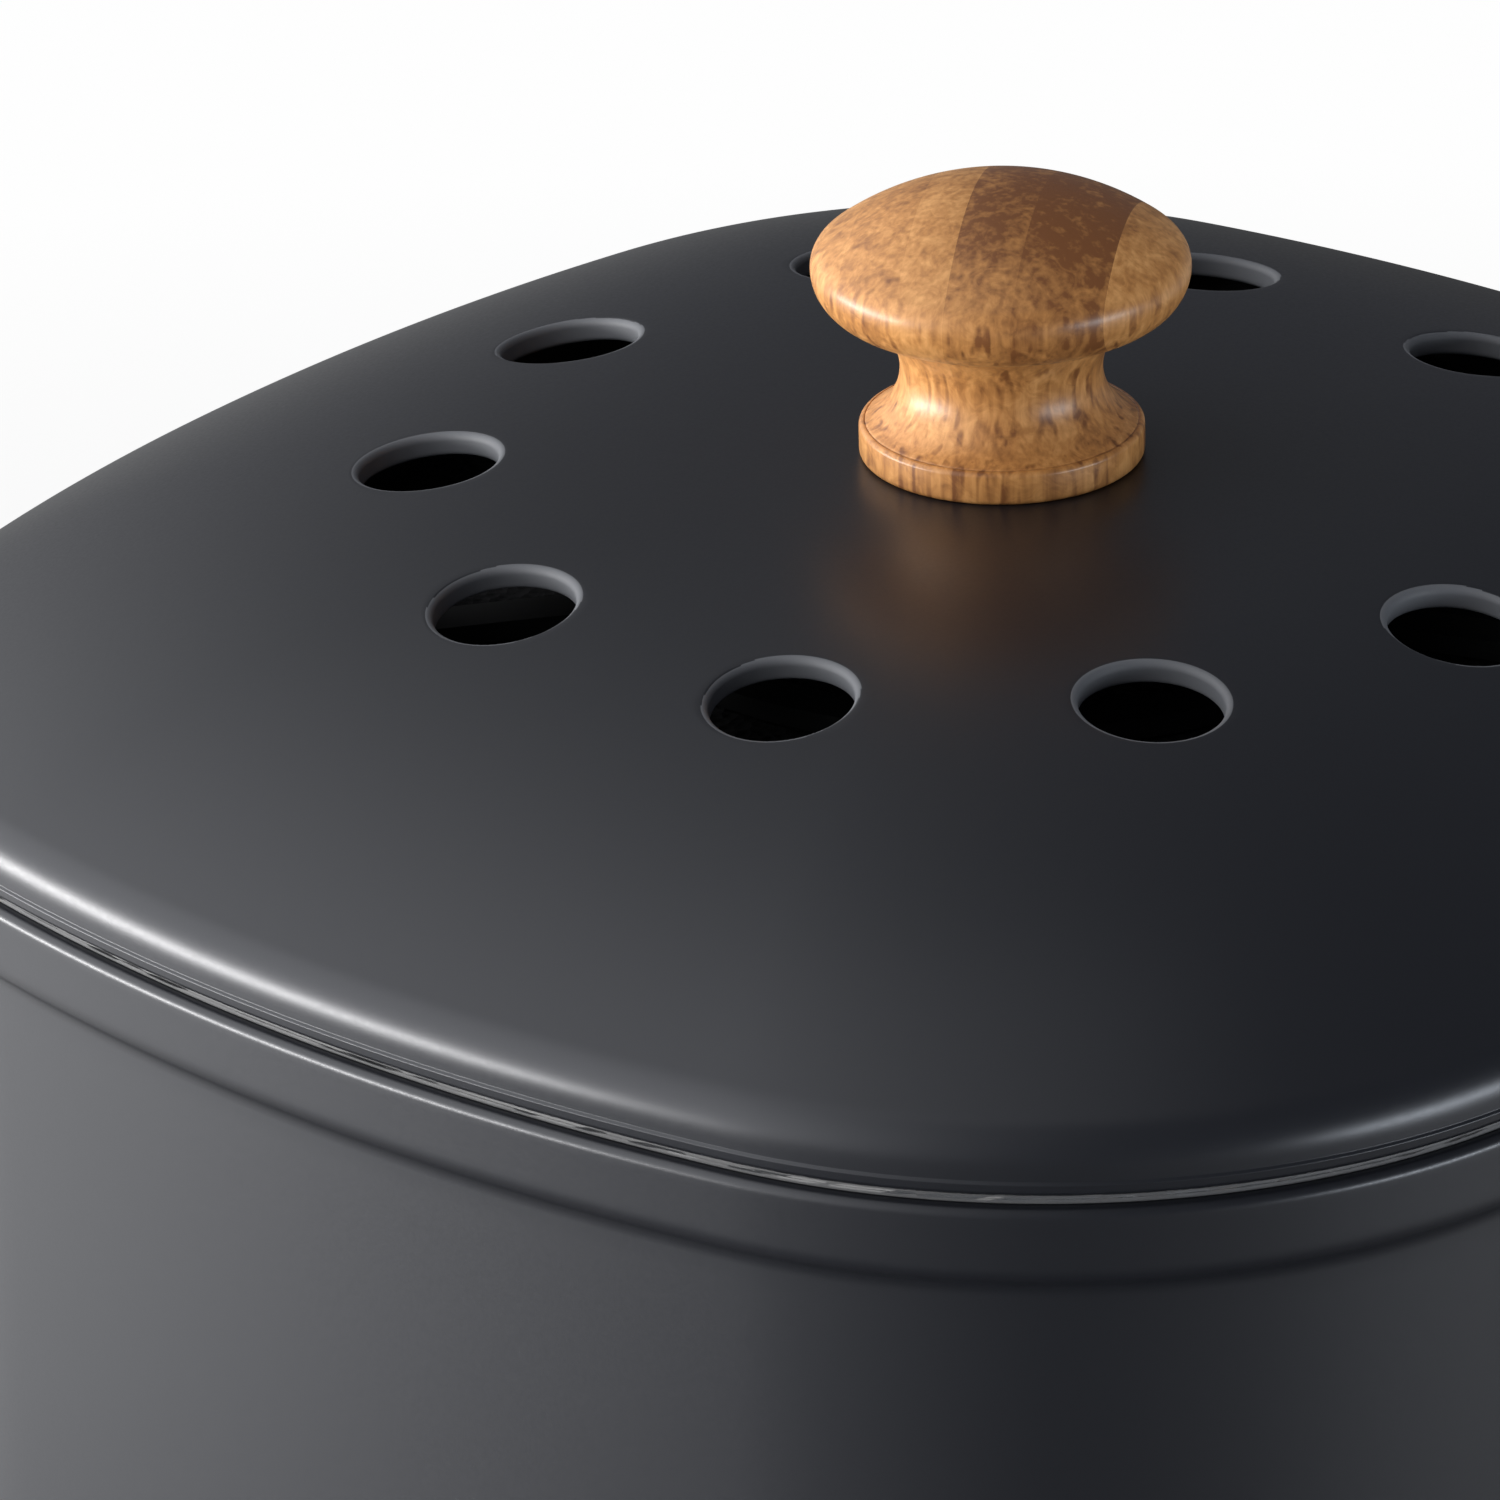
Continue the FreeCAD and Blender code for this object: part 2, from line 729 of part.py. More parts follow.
def vent_cutter():
    """What a vent removes: a round hole that flares over a rounded lip at the top."""
    bore, lip = size.vent_radius.value, size.vent_lip_radius.value
    depth = size.vent_depth.value + size.cut_overrun.value
    over = size.cut_overrun.value
    vector = FreeCAD.Vector
    bottom, shelf = vector(bore, 0, -depth), vector(bore, 0, -lip)
    bend = lip * (1 - math.sqrt(0.5))
    middle = vector(bore + bend, 0, -bend)
    rim, top = vector(bore + lip, 0, 0), vector(bore + lip, 0, over)
    edges = [
        Part.LineSegment(vector(0, 0, -depth), bottom).toShape(),
        Part.LineSegment(bottom, shelf).toShape(),
        Part.Arc(shelf, middle, rim).toShape(),
        Part.LineSegment(rim, top).toShape(),
        Part.LineSegment(top, vector(0, 0, over)).toShape(),
        Part.LineSegment(vector(0, 0, over), vector(0, 0, -depth)).toShape(),
    ]
    face = Part.Face(Part.Wire(edges))
    return face.revolve(vector(0, 0, 0), vector(0, 0, 1), FULL_TURN)


def vent_collar():
    """The short tube of sheet that is drawn down around a vent."""
    outer = size.vent_radius.value + size.steel.value
    high = size.vent_depth.value - size.steel.value / 2
    low = FreeCAD.Vector(0, 0, -size.vent_depth.value)
    return Part.makeCylinder(outer, high, low)


def vent_angles():
    """Ten vents spaced evenly, one of them on the +Y axis."""
    step = 2 * math.pi / VENT_COUNT
    return [math.pi / 2 + step * index for index in range(VENT_COUNT)]


def hem_ring():
    """The rolled edge of the lid: round below, flat above where it meets the skirt."""
    half, bead = size.lid_half_width.value, size.hem_radius.value
    reach, vector = size.hem_reach.value, FreeCAD.Vector
    outer = half + reach
    inner, middle = outer - 2 * bead, outer - bead
    low, level = lid_bottom.value, lid_bottom.value + bead
    top = level + bead
    bend = reach * math.sqrt(0.5)
    edges = [
        Part.Arc(vector(inner, 0, level), vector(middle, 0, low), vector(outer, 0, level)).toShape(),
        Part.LineSegment(vector(outer, 0, level), vector(outer, 0, top - reach)).toShape(),
        Part.Arc(
            vector(outer, 0, top - reach),
            vector(half + bend, 0, top - reach + bend),
            vector(half, 0, top),
        ).toShape(),
        Part.LineSegment(vector(half, 0, top), vector(inner, 0, top)).toShape(),
        Part.LineSegment(vector(inner, 0, top), vector(inner, 0, level)).toShape(),
    ]
    return outline_wire(half, 1.0, level).makePipeShell([Part.Wire(edges)], True, False)


def make_lid_shell():
    """The pressed steel lid: dome, shoulder, short skirt, rolled hem and ten drawn vent holes."""
    steel = size.steel.value
    half = size.lid_half_width.value
    hem_top = lid_bottom.value + 2 * size.hem_radius.value
    outer = dome_solid(half, crown_top.value, size.shoulder_radius.value, hem_top)
    inner = dome_solid(
        half - steel, crown_underside.value, size.shoulder_radius.value - steel, hem_top
    )
    shell = outer.cut(inner).fuse(hem_ring())
    collar, cutter = vent_collar(), vent_cutter()
    collars, cutters = [], []
    for angle in vent_angles():
        place = vent_placement(angle)
        collars.append(collar.transformed(place.toMatrix()))
        cutters.append(cutter.transformed(place.toMatrix()))
    screw_hole = Part.makeCylinder(
        size.screw_radius.value + size.screw_clearance.value,
        steel + 2 * size.cut_overrun.value,
        FreeCAD.Vector(0, 0, crown_underside.value - size.cut_overrun.value),
    )
    shell = shell.fuse(collars).cut(cutters + [screw_hole])
    feature = doc.addObject("Part::Feature", "lid_shell")
    feature.Label = "lid_shell"
    feature.Shape = shell.removeSplitter()
    made.append(feature)


def under_dome(share, gap):
    """A height under the inner face of the dome, a gap below it at a share of its outline."""
    return crown_underside - dome_fall(share) - gap


def ring_seat(half):
    """The height of the lid ring's flange at a half width. It follows the corners, where the dome
    is lower than at the sides."""
    diagonal = outline_reach(math.pi / 4)
    inset = size.lid_half_width.value - half.value
    share = (diagonal - inset) / (diagonal - size.steel.value)
    return under_dome(share, size.ring_seat_gap)


def make_lid_ring():
    """The ring that centres the lid in the bucket's mouth, with a sloped flange at its top that
    is welded to the dome."""
    body = new_body("lid_ring")
    steel = size.steel
    outer, inner = ring_half, ring_half - steel
    far = inner - size.ring_flange
    near_seat = ring_seat(outer)
    far_seat = ring_seat(far)
    start = (inner, ring_bottom)
    ring(body, "wall", start, [
        ((outer, ring_bottom),),
        ((outer, near_seat),),
        ((far, far_seat),),
        ((far, far_seat - steel),),
        ((inner, near_seat - steel),),
        (start,),
    ])


def make_lid_gasket():
    """The silicone band round the ring, with two small lips that meet the bucket's wall."""
    body = new_body("lid_gasket")
    bottom = ring_bottom + size.gasket_lift
    top = bottom + size.gasket_height
    inner = ring_half + size.running_clearance
    outer = ring_half + size.gasket_thickness
    valley = ring_half + size.gasket_thickness / 2
    rib = size.gasket_height / 4
    start = (inner, bottom)
    ring(body, "band", start, [
        ((outer, bottom),),
        ((outer, bottom + rib),),
        ((valley, bottom + rib),),
        ((valley, top - rib),),
        ((outer, top - rib),),
        ((outer, top),),
        ((inner, top),),
        (start,),
    ])


def make_knob():
    """The turned bamboo knob: a low base, a waisted neck and a wide domed head."""
    body = new_body("knob")
    base, edge = size.knob_base_radius, size.knob_base_edge
    base_top = size.knob_base_height
    shelf = base - edge
    neck, neck_z = shelf - size.knob_waist, base_top + size.knob_waist_rise
    head, head_z = base + size.knob_overhang, neck_z + size.knob_head_rise
    rim, rise = size.knob_rim_radius, size.knob_crown_rise
    top = head_z + rise
    drop = neck_z - base_top
    reach = shelf - neck
    cove = (drop * drop + reach * reach) / (reach * 2)
    cove_x = neck + cove
    # The arc under the head stands upright at the widest place and touches the cove's arc.
    side, climb = cove_x - head, head_z - neck_z
    under = (side * side + climb * climb - cove * cove) / ((cove - side) * 2)
    under_x = head - under
    touch = cove / (cove + under)
    flare_x = cove_x + (under_x - cove_x) * touch
    flare_z = neck_z + climb * touch
    # The rim arc stands upright at the widest place and touches the crown's arc from inside.
    rim_x = head - rim
    crown = (rim_x * rim_x + rise * rise - rim * rim) / ((rise - rim) * 2)
    low_z = crown - rise
    join = crown / (crown - rim)
    join_x = rim_x * join
    join_z = head_z - low_z + low_z * join
    bore = insert_radius + size.running_clearance
    depth = size.insert_sink + size.insert_length + size.seat_clearance
    start = (bore, zero)
    turned(body, "turned_knob", start, [
        ((shelf, zero),),
        ((base, edge), (shelf, edge), 1, "previous"),
        ((base, base_top - edge),),
        ((shelf, base_top), (shelf, base_top - edge), 1, "previous"),
        ((neck, neck_z), (cove_x, neck_z), -1, cove),
        ((flare_x, flare_z), (cove_x, neck_z), -1, cove),
        ((head, head_z), (under_x, head_z), 1, under),
        ((join_x, join_z), (rim_x, head_z), 1, rim),
        ((zero, top), (zero, top - crown), 1, crown),
        ((zero, depth),),
        ((bore, depth),),
        (start,),
    ])
    body.Placement.Base.z = crown_top.value
    body.setExpression("Placement.Base.z", crown_top.text)


def tube(label, inner, outer, bottom, length):
    """A plain tube on the lid's axis."""
    body = new_body(label)
    sketch = circle_sketch(body, "circles", [outer, inner], height=bottom)
    pad(body, "tube", sketch, length)
    return body


def make_fastening():
    """What holds the knob and the filter holder: insert, screw, plain washer and spring washer."""
    tube("knob_insert", screw_bore, insert_radius, insert_bottom, size.insert_length)
    washer_bottom = spider_underside - size.washer_thickness
    tube("plain_washer", screw_bore, washer_radius, washer_bottom, size.washer_thickness)
    split_radius = size.screw_radius + size.spring_washer_overhang
    split = tube(
        "spring_washer", screw_bore, split_radius, screw_head_top, size.spring_washer_thickness
    )
    half = size.spring_washer_split / 2
    gap = box_sketch(
        split, "split_box", (zero, -half), (split_radius + size.cut_overrun, half),
        height=screw_head_top,
    )
    pocket(split, "split", gap, size.spring_washer_thickness, reverse=True)
    body = new_body("knob_screw")
    under = screw_head_top - size.screw_head_height
    head = circle_sketch(body, "head_circle", [screw_head_radius], height=under)
    pad(body, "head", head, size.screw_head_height)
    shank = circle_sketch(body, "shank_circle", [size.screw_radius], height=screw_head_top)
    pad(body, "shank", shank, screw_end - screw_head_top)
    arm, width = size.screw_radius, size.screw_slot_width / 2
    for name, low, high in (("slot", (-arm, -width), (arm, width)),
                            ("cross_slot", (-width, -arm), (width, arm))):
        box = box_sketch(body, name + "_box", low, high, height=under)
        pocket(body, name, box, size.screw_slot_depth, reverse=True)


def wedge_sketch(body, name, inner, outer, start, stop, height):
    """A piece of a ring between two radii and two angles in degrees."""
    sketch = new_sketch(body, name, "XY_Plane", height)
    first, last = math.radians(start), math.radians(stop)
    corners = [
        (inner * math.cos(first), inner * math.sin(first)),
        (outer * math.cos(first), outer * math.sin(first)),
        (outer * math.cos(last), outer * math.sin(last)),
        (inner * math.cos(last), inner * math.sin(last)),
    ]
    draw(sketch, corners[0], [
        (corners[1],),
        (corners[2], (zero, zero), 1, outer),
        (corners[3],),
        (corners[0], (zero, zero), -1, inner),
    ])
    return sketch


def make_filter_holder():
    """The plastic holder under the dome: a ring with bayonet slots, a spoked plate over the
    filter, and a boss that the knob's screw clamps to the dome."""
    body = new_body("filter_holder")
    share = holder_radius.value / (size.lid_half_width.value - size.steel.value)
    ring_top = under_dome(share, size.seat_clearance)
    circles = circle_sketch(
        body, "ring_circles", [holder_radius, holder_inside], height=holder_bottom
    )
    pad(body, "ring", circles, ring_top - holder_bottom)
    boss_radius = size.screw_radius + size.boss_wall
    hub_radius = boss_radius + size.hub_overhang
    half = size.spoke_width / 2
    spoke = box_sketch(
        body, "spoke_box", (hub_radius / 2, -half),
        (holder_radius - size.holder_wall / 2, half), height=spider_underside,
    )
    arm = pad(body, "spoke", spoke, size.spider_thickness)
    polar(body, "spokes", [arm], SPOKE_COUNT)
    hub = circle_sketch(body, "hub_circle", [hub_radius], height=spider_underside)
    pad(body, "hub", hub, size.spider_thickness)
    middle = (hub_radius + holder_inside) / 2
    stiffener = circle_sketch(
        body, "stiffener_circles", [middle + half, middle - half], height=spider_underside
    )
    pad(body, "stiffener", stiffener, size.spider_thickness)
    boss = circle_sketch(body, "boss_circle", [boss_radius], height=spider_underside)
    seat = under_dome(DOME_SHARES[-1], zero)
    pad(body, "boss", boss, seat - spider_underside)
    hole = circle_sketch(body, "boss_hole", [screw_bore], height=spider_underside)
    pocket(body, "screw_hole", hole, seat - spider_underside, reverse=True)
    # Each slot lets a lug in from below and then runs round, with play at both ends.
    play = SLOT_PLAY_ANGLE + LUG_ANGLE / 2
    first = FULL_TURN / LUG_COUNT / 2
    near, far = holder_inside - size.cut_overrun, holder_radius + size.cut_overrun
    run = wedge_sketch(
        body, "run_wedge", near, far, first - play, first + TURN_ANGLE + play, slot_floor
    )
    channel = pocket(
        body, "run", run, size.cover_thickness + size.slot_clearance * 2, reverse=True
    )
    mouth = wedge_sketch(
        body, "mouth_wedge", near, far, first + TURN_ANGLE - play, first + TURN_ANGLE + play,
        holder_bottom,
    )
    entry = pocket(body, "mouth", mouth, cover_bottom - holder_bottom, reverse=True)
    polar(body, "slots", [channel, entry], LUG_COUNT)


def make_carbon_filter():
    """The round pad of carbon foam, with a hole round the screw's head."""
    radius = holder_inside - size.filter_clearance
    hole = washer_radius + size.filter_hole_gap
    tube("carbon_filter", hole, radius, filter_bottom, size.filter_thickness)


def make_filter_cover():
    """The slotted plastic cover that turns in the holder's slots by four lugs."""
    body = new_body("filter_cover")
    disc = circle_sketch(body, "disc_circle", [cover_radius], height=cover_bottom)
    pad(body, "disc", disc, size.cover_thickness)
    middle = FULL_TURN / LUG_COUNT / 2
    wedge = wedge_sketch(
        body, "lug_wedge", cover_radius - size.cut_overrun, holder_radius - size.lug_inset,
        middle - LUG_ANGLE / 2, middle + LUG_ANGLE / 2, cover_bottom,
    )
    lug = pad(body, "lug", wedge, size.cover_thickness)
    polar(body, "lugs", [lug], LUG_COUNT)
    half = size.cover_vent_width / 2
    slot = new_sketch(body, "vent_slot", "XY_Plane", cover_bottom)
    near = size.finger_bar_length / 2 + size.cover_vent_gap
    far = cover_radius - size.cover_vent_margin
    draw(slot, (near, -half), [
        ((far, -half),),
        ((far, half), (far, zero), 1, "previous"),
        ((near, half),),
        ((near, -half), (near, zero), 1, "previous"),
    ])
    vent = pocket(body, "vent", slot, size.cover_thickness, reverse=True)
    polar(body, "vents", [vent], COVER_VENT_COUNT)
    reach, width = size.finger_bar_length / 2, size.finger_bar_width / 2
    turn = FULL_TURN / COVER_VENT_COUNT / 2
    low = cover_bottom - size.finger_bar_depth
    bar = box_sketch(body, "bar_box", (-reach, -width), (reach, width), height=low)
    bar.AttachmentOffset.Rotation = FreeCAD.Rotation(FreeCAD.Vector(0, 0, 1), turn)
    pad(body, "finger_bar", bar, size.finger_bar_depth)
    rims = edges_where(body, lambda edge: at_height(edge, low))
    fillet(body, "bar_edges", rims, size.finger_bar_edge)


def check_and_write():
    """Stops at any failed feature or bad shape, then writes one file for each piece."""
    doc.recompute()
    for item in doc.Objects:
        if "Invalid" in item.State or "Error" in item.State:
            raise RuntimeError("%s failed: %s" % (item.Name, item.State))
    for item in made:
        shape = item.Shape
        if shape.isNull() or not shape.isValid() or not shape.Solids:
            raise RuntimeError("%s has no valid solid" % item.Label)
    os.makedirs("parts", exist_ok=True)
    for item in made:
        item.Shape.exportStep("parts/%s.step" % item.Label)
        box = item.Shape.BoundBox
        print("%-16s %9.1f mm3  x %7.2f %7.2f  y %7.2f %7.2f  z %7.2f %7.2f  solids %d" % (
            item.Label, item.Shape.Volume, box.XMin, box.XMax, box.YMin, box.YMax,
            box.ZMin, box.ZMax, len(item.Shape.Solids)))


make_outer_shell()
make_base_plate()
make_foot_pads()
make_inner_bucket()
make_bucket_bail()
make_bail_grip()
make_lid_shell()
make_lid_ring()
make_lid_gasket()
make_knob()
make_fastening()
make_filter_holder()
make_carbon_filter()
make_filter_cover()
check_and_write()
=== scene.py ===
import math

import bmesh
import bpy
import numpy as np
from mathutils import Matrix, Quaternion, Vector


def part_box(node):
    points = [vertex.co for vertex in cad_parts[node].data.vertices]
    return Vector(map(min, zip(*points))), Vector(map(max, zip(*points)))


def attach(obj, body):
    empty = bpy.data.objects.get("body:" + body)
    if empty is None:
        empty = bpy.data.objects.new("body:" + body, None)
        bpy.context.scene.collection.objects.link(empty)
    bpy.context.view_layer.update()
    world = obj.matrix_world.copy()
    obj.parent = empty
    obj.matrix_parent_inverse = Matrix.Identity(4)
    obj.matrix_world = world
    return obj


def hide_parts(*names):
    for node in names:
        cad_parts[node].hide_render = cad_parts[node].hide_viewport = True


# Counter-top compost bin: powder-coated rounded-square can, domed lid with ten vents, bamboo knob.
# Shapes are worked out in millimetres in the part's own frame and written to the meshes in metres.

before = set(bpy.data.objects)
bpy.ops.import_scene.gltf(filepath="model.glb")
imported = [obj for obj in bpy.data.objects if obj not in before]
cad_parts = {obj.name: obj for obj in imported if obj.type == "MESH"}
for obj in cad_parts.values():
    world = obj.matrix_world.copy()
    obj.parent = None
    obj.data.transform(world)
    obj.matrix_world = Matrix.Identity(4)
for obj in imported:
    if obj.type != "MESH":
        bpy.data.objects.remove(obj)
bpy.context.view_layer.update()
millimetre = 0.001


def nodeBox(node):
    # lowest and highest corner of a CAD piece, in millimetres
    low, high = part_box(node)
    return np.array(low) / millimetre, np.array(high) / millimetre


canLow, canHigh = nodeBox("outer_shell")
bucketLow, bucketHigh = nodeBox("inner_bucket")
lidLow, lidHigh = nodeBox("lid_shell")
print("frame loaded")

# The rounded square that every wall follows, seen from above.
outline = {
    "halfWidth": canHigh[0],
    "cornerRadius": 64.6,
    "sideRadius": 235.5,
    "stepsPerArc": 44,
}


def outlineParts(inset=0.0):
    # half width, corner radius, side radius, place of the corner arc's centre, half angle of a side
    half = outline["halfWidth"] - inset
    corner = outline["cornerRadius"] - inset
    side = outline["sideRadius"] - inset
    gap = side - half
    apart = side - corner
    place = (math.sqrt(2 * apart * apart - gap * gap) - gap) / 2
    return half, corner, side, place, math.atan2(place, place + gap)


def outlineRing():
    # point = arc centre + arc radius * outward direction, for a side and a corner arc, turned
    # four times by a quarter; returns the points and the outward directions
    half, corner, side, place, halfTurn = outlineParts()
    steps = outline["stepsPerArc"]
    sideTurn = np.linspace(-halfTurn, halfTurn, steps, endpoint=False)
    cornerTurn = np.linspace(halfTurn, math.pi / 2 - halfTurn, steps, endpoint=False)
    turn = np.concatenate([sideTurn, cornerTurn])
    outward = np.stack([np.cos(turn), np.sin(turn)], axis=1)
    radius = np.repeat([side, corner], steps)[:, None]
    centre = np.repeat([[half - side, 0.0], [place, place]], steps, axis=0)
    points = centre + radius * outward
    quarters = np.arange(4) * math.pi / 2
    spin = np.array([[np.cos(quarters), -np.sin(quarters)], [np.sin(quarters), np.cos(quarters)]])
    allPoints = np.einsum("ijk,nj->kni", spin, points).reshape(-1, 2)
    allOutward = np.einsum("ijk,nj->kni", spin, outward).reshape(-1, 2)
    return allPoints, allOutward


def unit(vectors):
    return vectors / np.linalg.norm(vectors, axis=-1, keepdims=True)


def roundedPath(corners, steps=5, closed=True, margin=0.5):
    # corners are rows of across, up, radius. Each becomes an arc that touches both its lines:
    # point = centre + (sin((1-s)*turn)*first + sin(s*turn)*last) / sin(turn). A point at a margin
    # past each end of the arc keeps the shading of the straight runs flat.
    corners = np.asarray(corners, float)
    here, radius = corners[:, :2], corners[:, 2:]
    before = unit(np.roll(here, 1, axis=0) - here)
    after = unit(np.roll(here, -1, axis=0) - here)
    halfAngle = np.arccos(np.clip((before * after).sum(1, keepdims=True), -1, 1)) / 2
    reach = radius / np.tan(halfAngle)
    centre = here + unit(before + after) * radius / np.sin(halfAngle)
    first = here + before * reach - centre
    last = here + after * reach - centre
    turn = (math.pi - 2 * halfAngle)[:, :, None]
    s = np.linspace(0, 1, steps)[None, :, None]
    blend = np.sin((1 - s) * turn) * first[:, None] + np.sin(s * turn) * last[:, None]
    arc = blend / np.sin(turn)
    ahead = (first + centre + before * radius * margin)[:, None]
    behind = (last + centre + after * radius * margin)[:, None]
    rows = np.concatenate([ahead, centre[:, None] + arc, behind], axis=1)
    if closed:
        return rows.reshape(-1, 2)
    inner = rows[1:-1].reshape(-1, 2)
    return np.concatenate([here[:1], inner, here[-1:]])


def arcRun(centre, radius, start, stop, steps):
    # point = centre + radius * (cos, sin) of an angle in degrees that runs from start to stop
    turn = np.radians(np.linspace(start, stop, steps))
    return np.stack([centre[0] + radius * np.cos(turn), centre[1] + radius * np.sin(turn)], axis=1)


def alongOutline(profile):
    # point = outline + offset * outward direction, at the profile's height
    points, outward = outlineRing()
    flat = points[None] + profile[:, None, :1] * outward[None]
    height = np.broadcast_to(profile[:, None, 1:], flat.shape[:2] + (1,))
    return np.concatenate([flat, height], axis=2)


def toMiddle(ring, shares):
    # a flat floor: the ring's points scaled towards the middle by each share
    shares = np.asarray(shares)[:, None, None]
    return np.concatenate([ring[None, :, :2] * shares, np.broadcast_to(
        ring[None, :, 2:], (len(shares), len(ring), 1))], axis=2)


def turnedGrid(profile, steps):
    # point = (radius * cos, radius * sin, height) of an angle all the way round
    turn = np.linspace(0, 2 * math.pi, steps, endpoint=False)
    x = profile[:, :1] * np.cos(turn)
    y = profile[:, :1] * np.sin(turn)
    return np.stack([x, y, np.broadcast_to(profile[:, 1:], x.shape)], axis=2)


def tubeGrid(path, radius, steps):
    # a level path in plan: point = path + radius * (cos * sideways + sin * up); the ends close
    ahead = unit(np.gradient(path[:, :2], axis=0))
    sideways = np.stack([ahead[:, 1], -ahead[:, 0], np.zeros(len(path))], axis=1)
    turn = np.linspace(0, 2 * math.pi, steps, endpoint=False)
    upward = np.array([0.0, 0.0, 1.0])
    ring = np.cos(turn)[:, None] * sideways[:, None] + np.sin(turn)[:, None] * upward
    size = np.full((len(path), 1, 1), radius)
    size[[0, -1]] = 0.0
    return path[:, None] + ring * size


def gridFaces(rows, columns):
    # the quads of a grid whose columns close on themselves
    row = np.arange(rows - 1)[:, None] * columns
    column = np.arange(columns)[None, :]
    following = (column + 1) % columns
    quads = [row + column, row + following, row + columns + following, row + columns + column]
    return np.stack(quads, axis=-1).reshape(-1, 4)


weldDistance = 2e-7  # metres


def newPiece(name, blocks, finish):
    # joins grids of points in millimetres into one closed mesh in metres
    start, points, faces = 0, [], []
    for block in blocks:
        rows, columns = block.shape[:2]
        points.append(block.reshape(-1, 3))
        faces.append(gridFaces(rows, columns) + start)
        start += rows * columns
    points = np.concatenate(points) * millimetre
    faces = np.concatenate(faces)
    mesh = bpy.data.meshes.new(name)
    mesh.vertices.add(len(points))
    mesh.vertices.foreach_set("co", points.ravel())
    mesh.loops.add(faces.size)
    mesh.loops.foreach_set("vertex_index", faces.ravel())
    mesh.polygons.add(len(faces))
    mesh.polygons.foreach_set("loop_start", np.arange(0, faces.size, 4))
    mesh.update(calc_edges=True)
    work = bmesh.new()
    work.from_mesh(mesh)
    bmesh.ops.remove_doubles(work, verts=work.verts, dist=weldDistance)
    bmesh.ops.recalc_face_normals(work, faces=work.faces)
    work.to_mesh(mesh)
    work.free()
    mesh.polygons.foreach_set("use_smooth", np.ones(len(mesh.polygons), bool))
    mesh.materials.append(finish)
    piece = bpy.data.objects.new(name, mesh)
    bpy.context.collection.objects.link(piece)
    return piece


def evenShading(piece):
    # large faces keep their own direction, so that narrow rounded edges catch the light alone
    shading = piece.modifiers.new("evenShading", "WEIGHTED_NORMAL")
    shading.weight = 60
    return piece


# Finishes: every pattern reads Object coordinates.


def addNode(finish, kind, values=None, **settings):
    node = finish.node_tree.nodes.new(kind)
    for key, value in settings.items():
        setattr(node, key, value)
    for key, value in (values or {}).items():
        node.inputs[key].default_value = value
    return node


def join(finish, fromNode, fromSocket, toNode, toSocket):
    finish.node_tree.links.new(fromNode.outputs[fromSocket], toNode.inputs[toSocket])


def startFinish(name, values):
    finish = bpy.data.materials.new(name)
    finish.use_nodes = True
    shader = finish.node_tree.nodes["Principled BSDF"]
    for key, value in values.items():
        shader.inputs[key].default_value = value
    place = addNode(finish, "ShaderNodeTexCoord")
    return finish, shader, place


def noiseAt(finish, place, scale, detail=2.0, stretch=None, roughness=0.5):
    # a noise on Object coordinates; scale is features per metre
    noise = addNode(finish, "ShaderNodeTexNoise",
                    {"Scale": scale, "Detail": detail, "Roughness": roughness})
    if stretch is None:
        join(finish, place, "Object", noise, "Vector")
    else:
        mapping = addNode(finish, "ShaderNodeMapping", {"Scale": stretch})
        join(finish, place, "Object", mapping, "Vector")
        join(finish, mapping, "Vector", noise, "Vector")
    return noise


def spread(finish, node, socket, low, high, fromLow=0.3, fromHigh=0.7):
    # maps a texture's value to a range
    ranged = addNode(finish, "ShaderNodeMapRange", {
        "From Min": fromLow, "From Max": fromHigh, "To Min": low, "To Max": high})
    join(finish, node, socket, ranged, "Value")
    return ranged


def mathNode(finish, operation, first, second):
    # each operand is a number or a node with its socket
    node = addNode(finish, "ShaderNodeMath", operation=operation)
    for index, operand in enumerate((first, second)):
        if isinstance(operand, tuple):
            join(finish, operand[0], operand[1], node, index)
        else:
            node.inputs[index].default_value = operand
    return node, "Value"


def setStops(ramp, rows):
    # rows are positions from 0 to 1, each with a colour or a grey level
    stops = ramp.color_ramp.elements
    for index, (position, colour) in enumerate(rows):
        stop = stops[index] if index < 2 else stops.new(position)
        stop.position = position
        stop.color = (colour, colour, colour, 1.0) if isinstance(colour, float) else colour


def addBump(finish, shader, heights):
    # heights are rows of node, socket and depth in metres, stacked one bump on the next
    previous = None
    for node, socket, depth in heights:
        bump = addNode(finish, "ShaderNodeBump", {"Strength": 1.0, "Distance": depth})
        join(finish, node, socket, bump, "Height")
        if previous is not None:
            join(finish, previous, "Normal", bump, "Normal")
        previous = bump
    join(finish, previous, "Normal", shader, "Normal")


coat = {
    "colour": (0.0105, 0.0115, 0.0150, 1.0),
    "roughLow": 0.30,
    "roughHigh": 0.36,
    "specular": 0.5,
    "tint": (0.94, 0.955, 1.0, 1.0),
    # painted light: the vent walls get a much paler, rougher grey than the coat, so that they show
    # brighter than the dome
    "ventPaintedLightColour": (0.105, 0.110, 0.122, 1.0),
    "ventRoughness": 0.62,
    "peelScale": 520.0,
    "peelDepth": 0.000005,
    "grainScale": 2600.0,
    "grainDepth": 0.0000022,
}


def ventPaintedLightCoat():
    # a paler copy of the powder coat, with painted light in its colour
    finish, shader, place = startFinish("ventPaintedLightCoat", {
        "Base Color": coat["ventPaintedLightColour"], "Roughness": coat["ventRoughness"]})
    grain = noiseAt(finish, place, coat["grainScale"], 2.0)
    addBump(finish, shader, [(grain, "Fac", coat["grainDepth"])])
    return finish


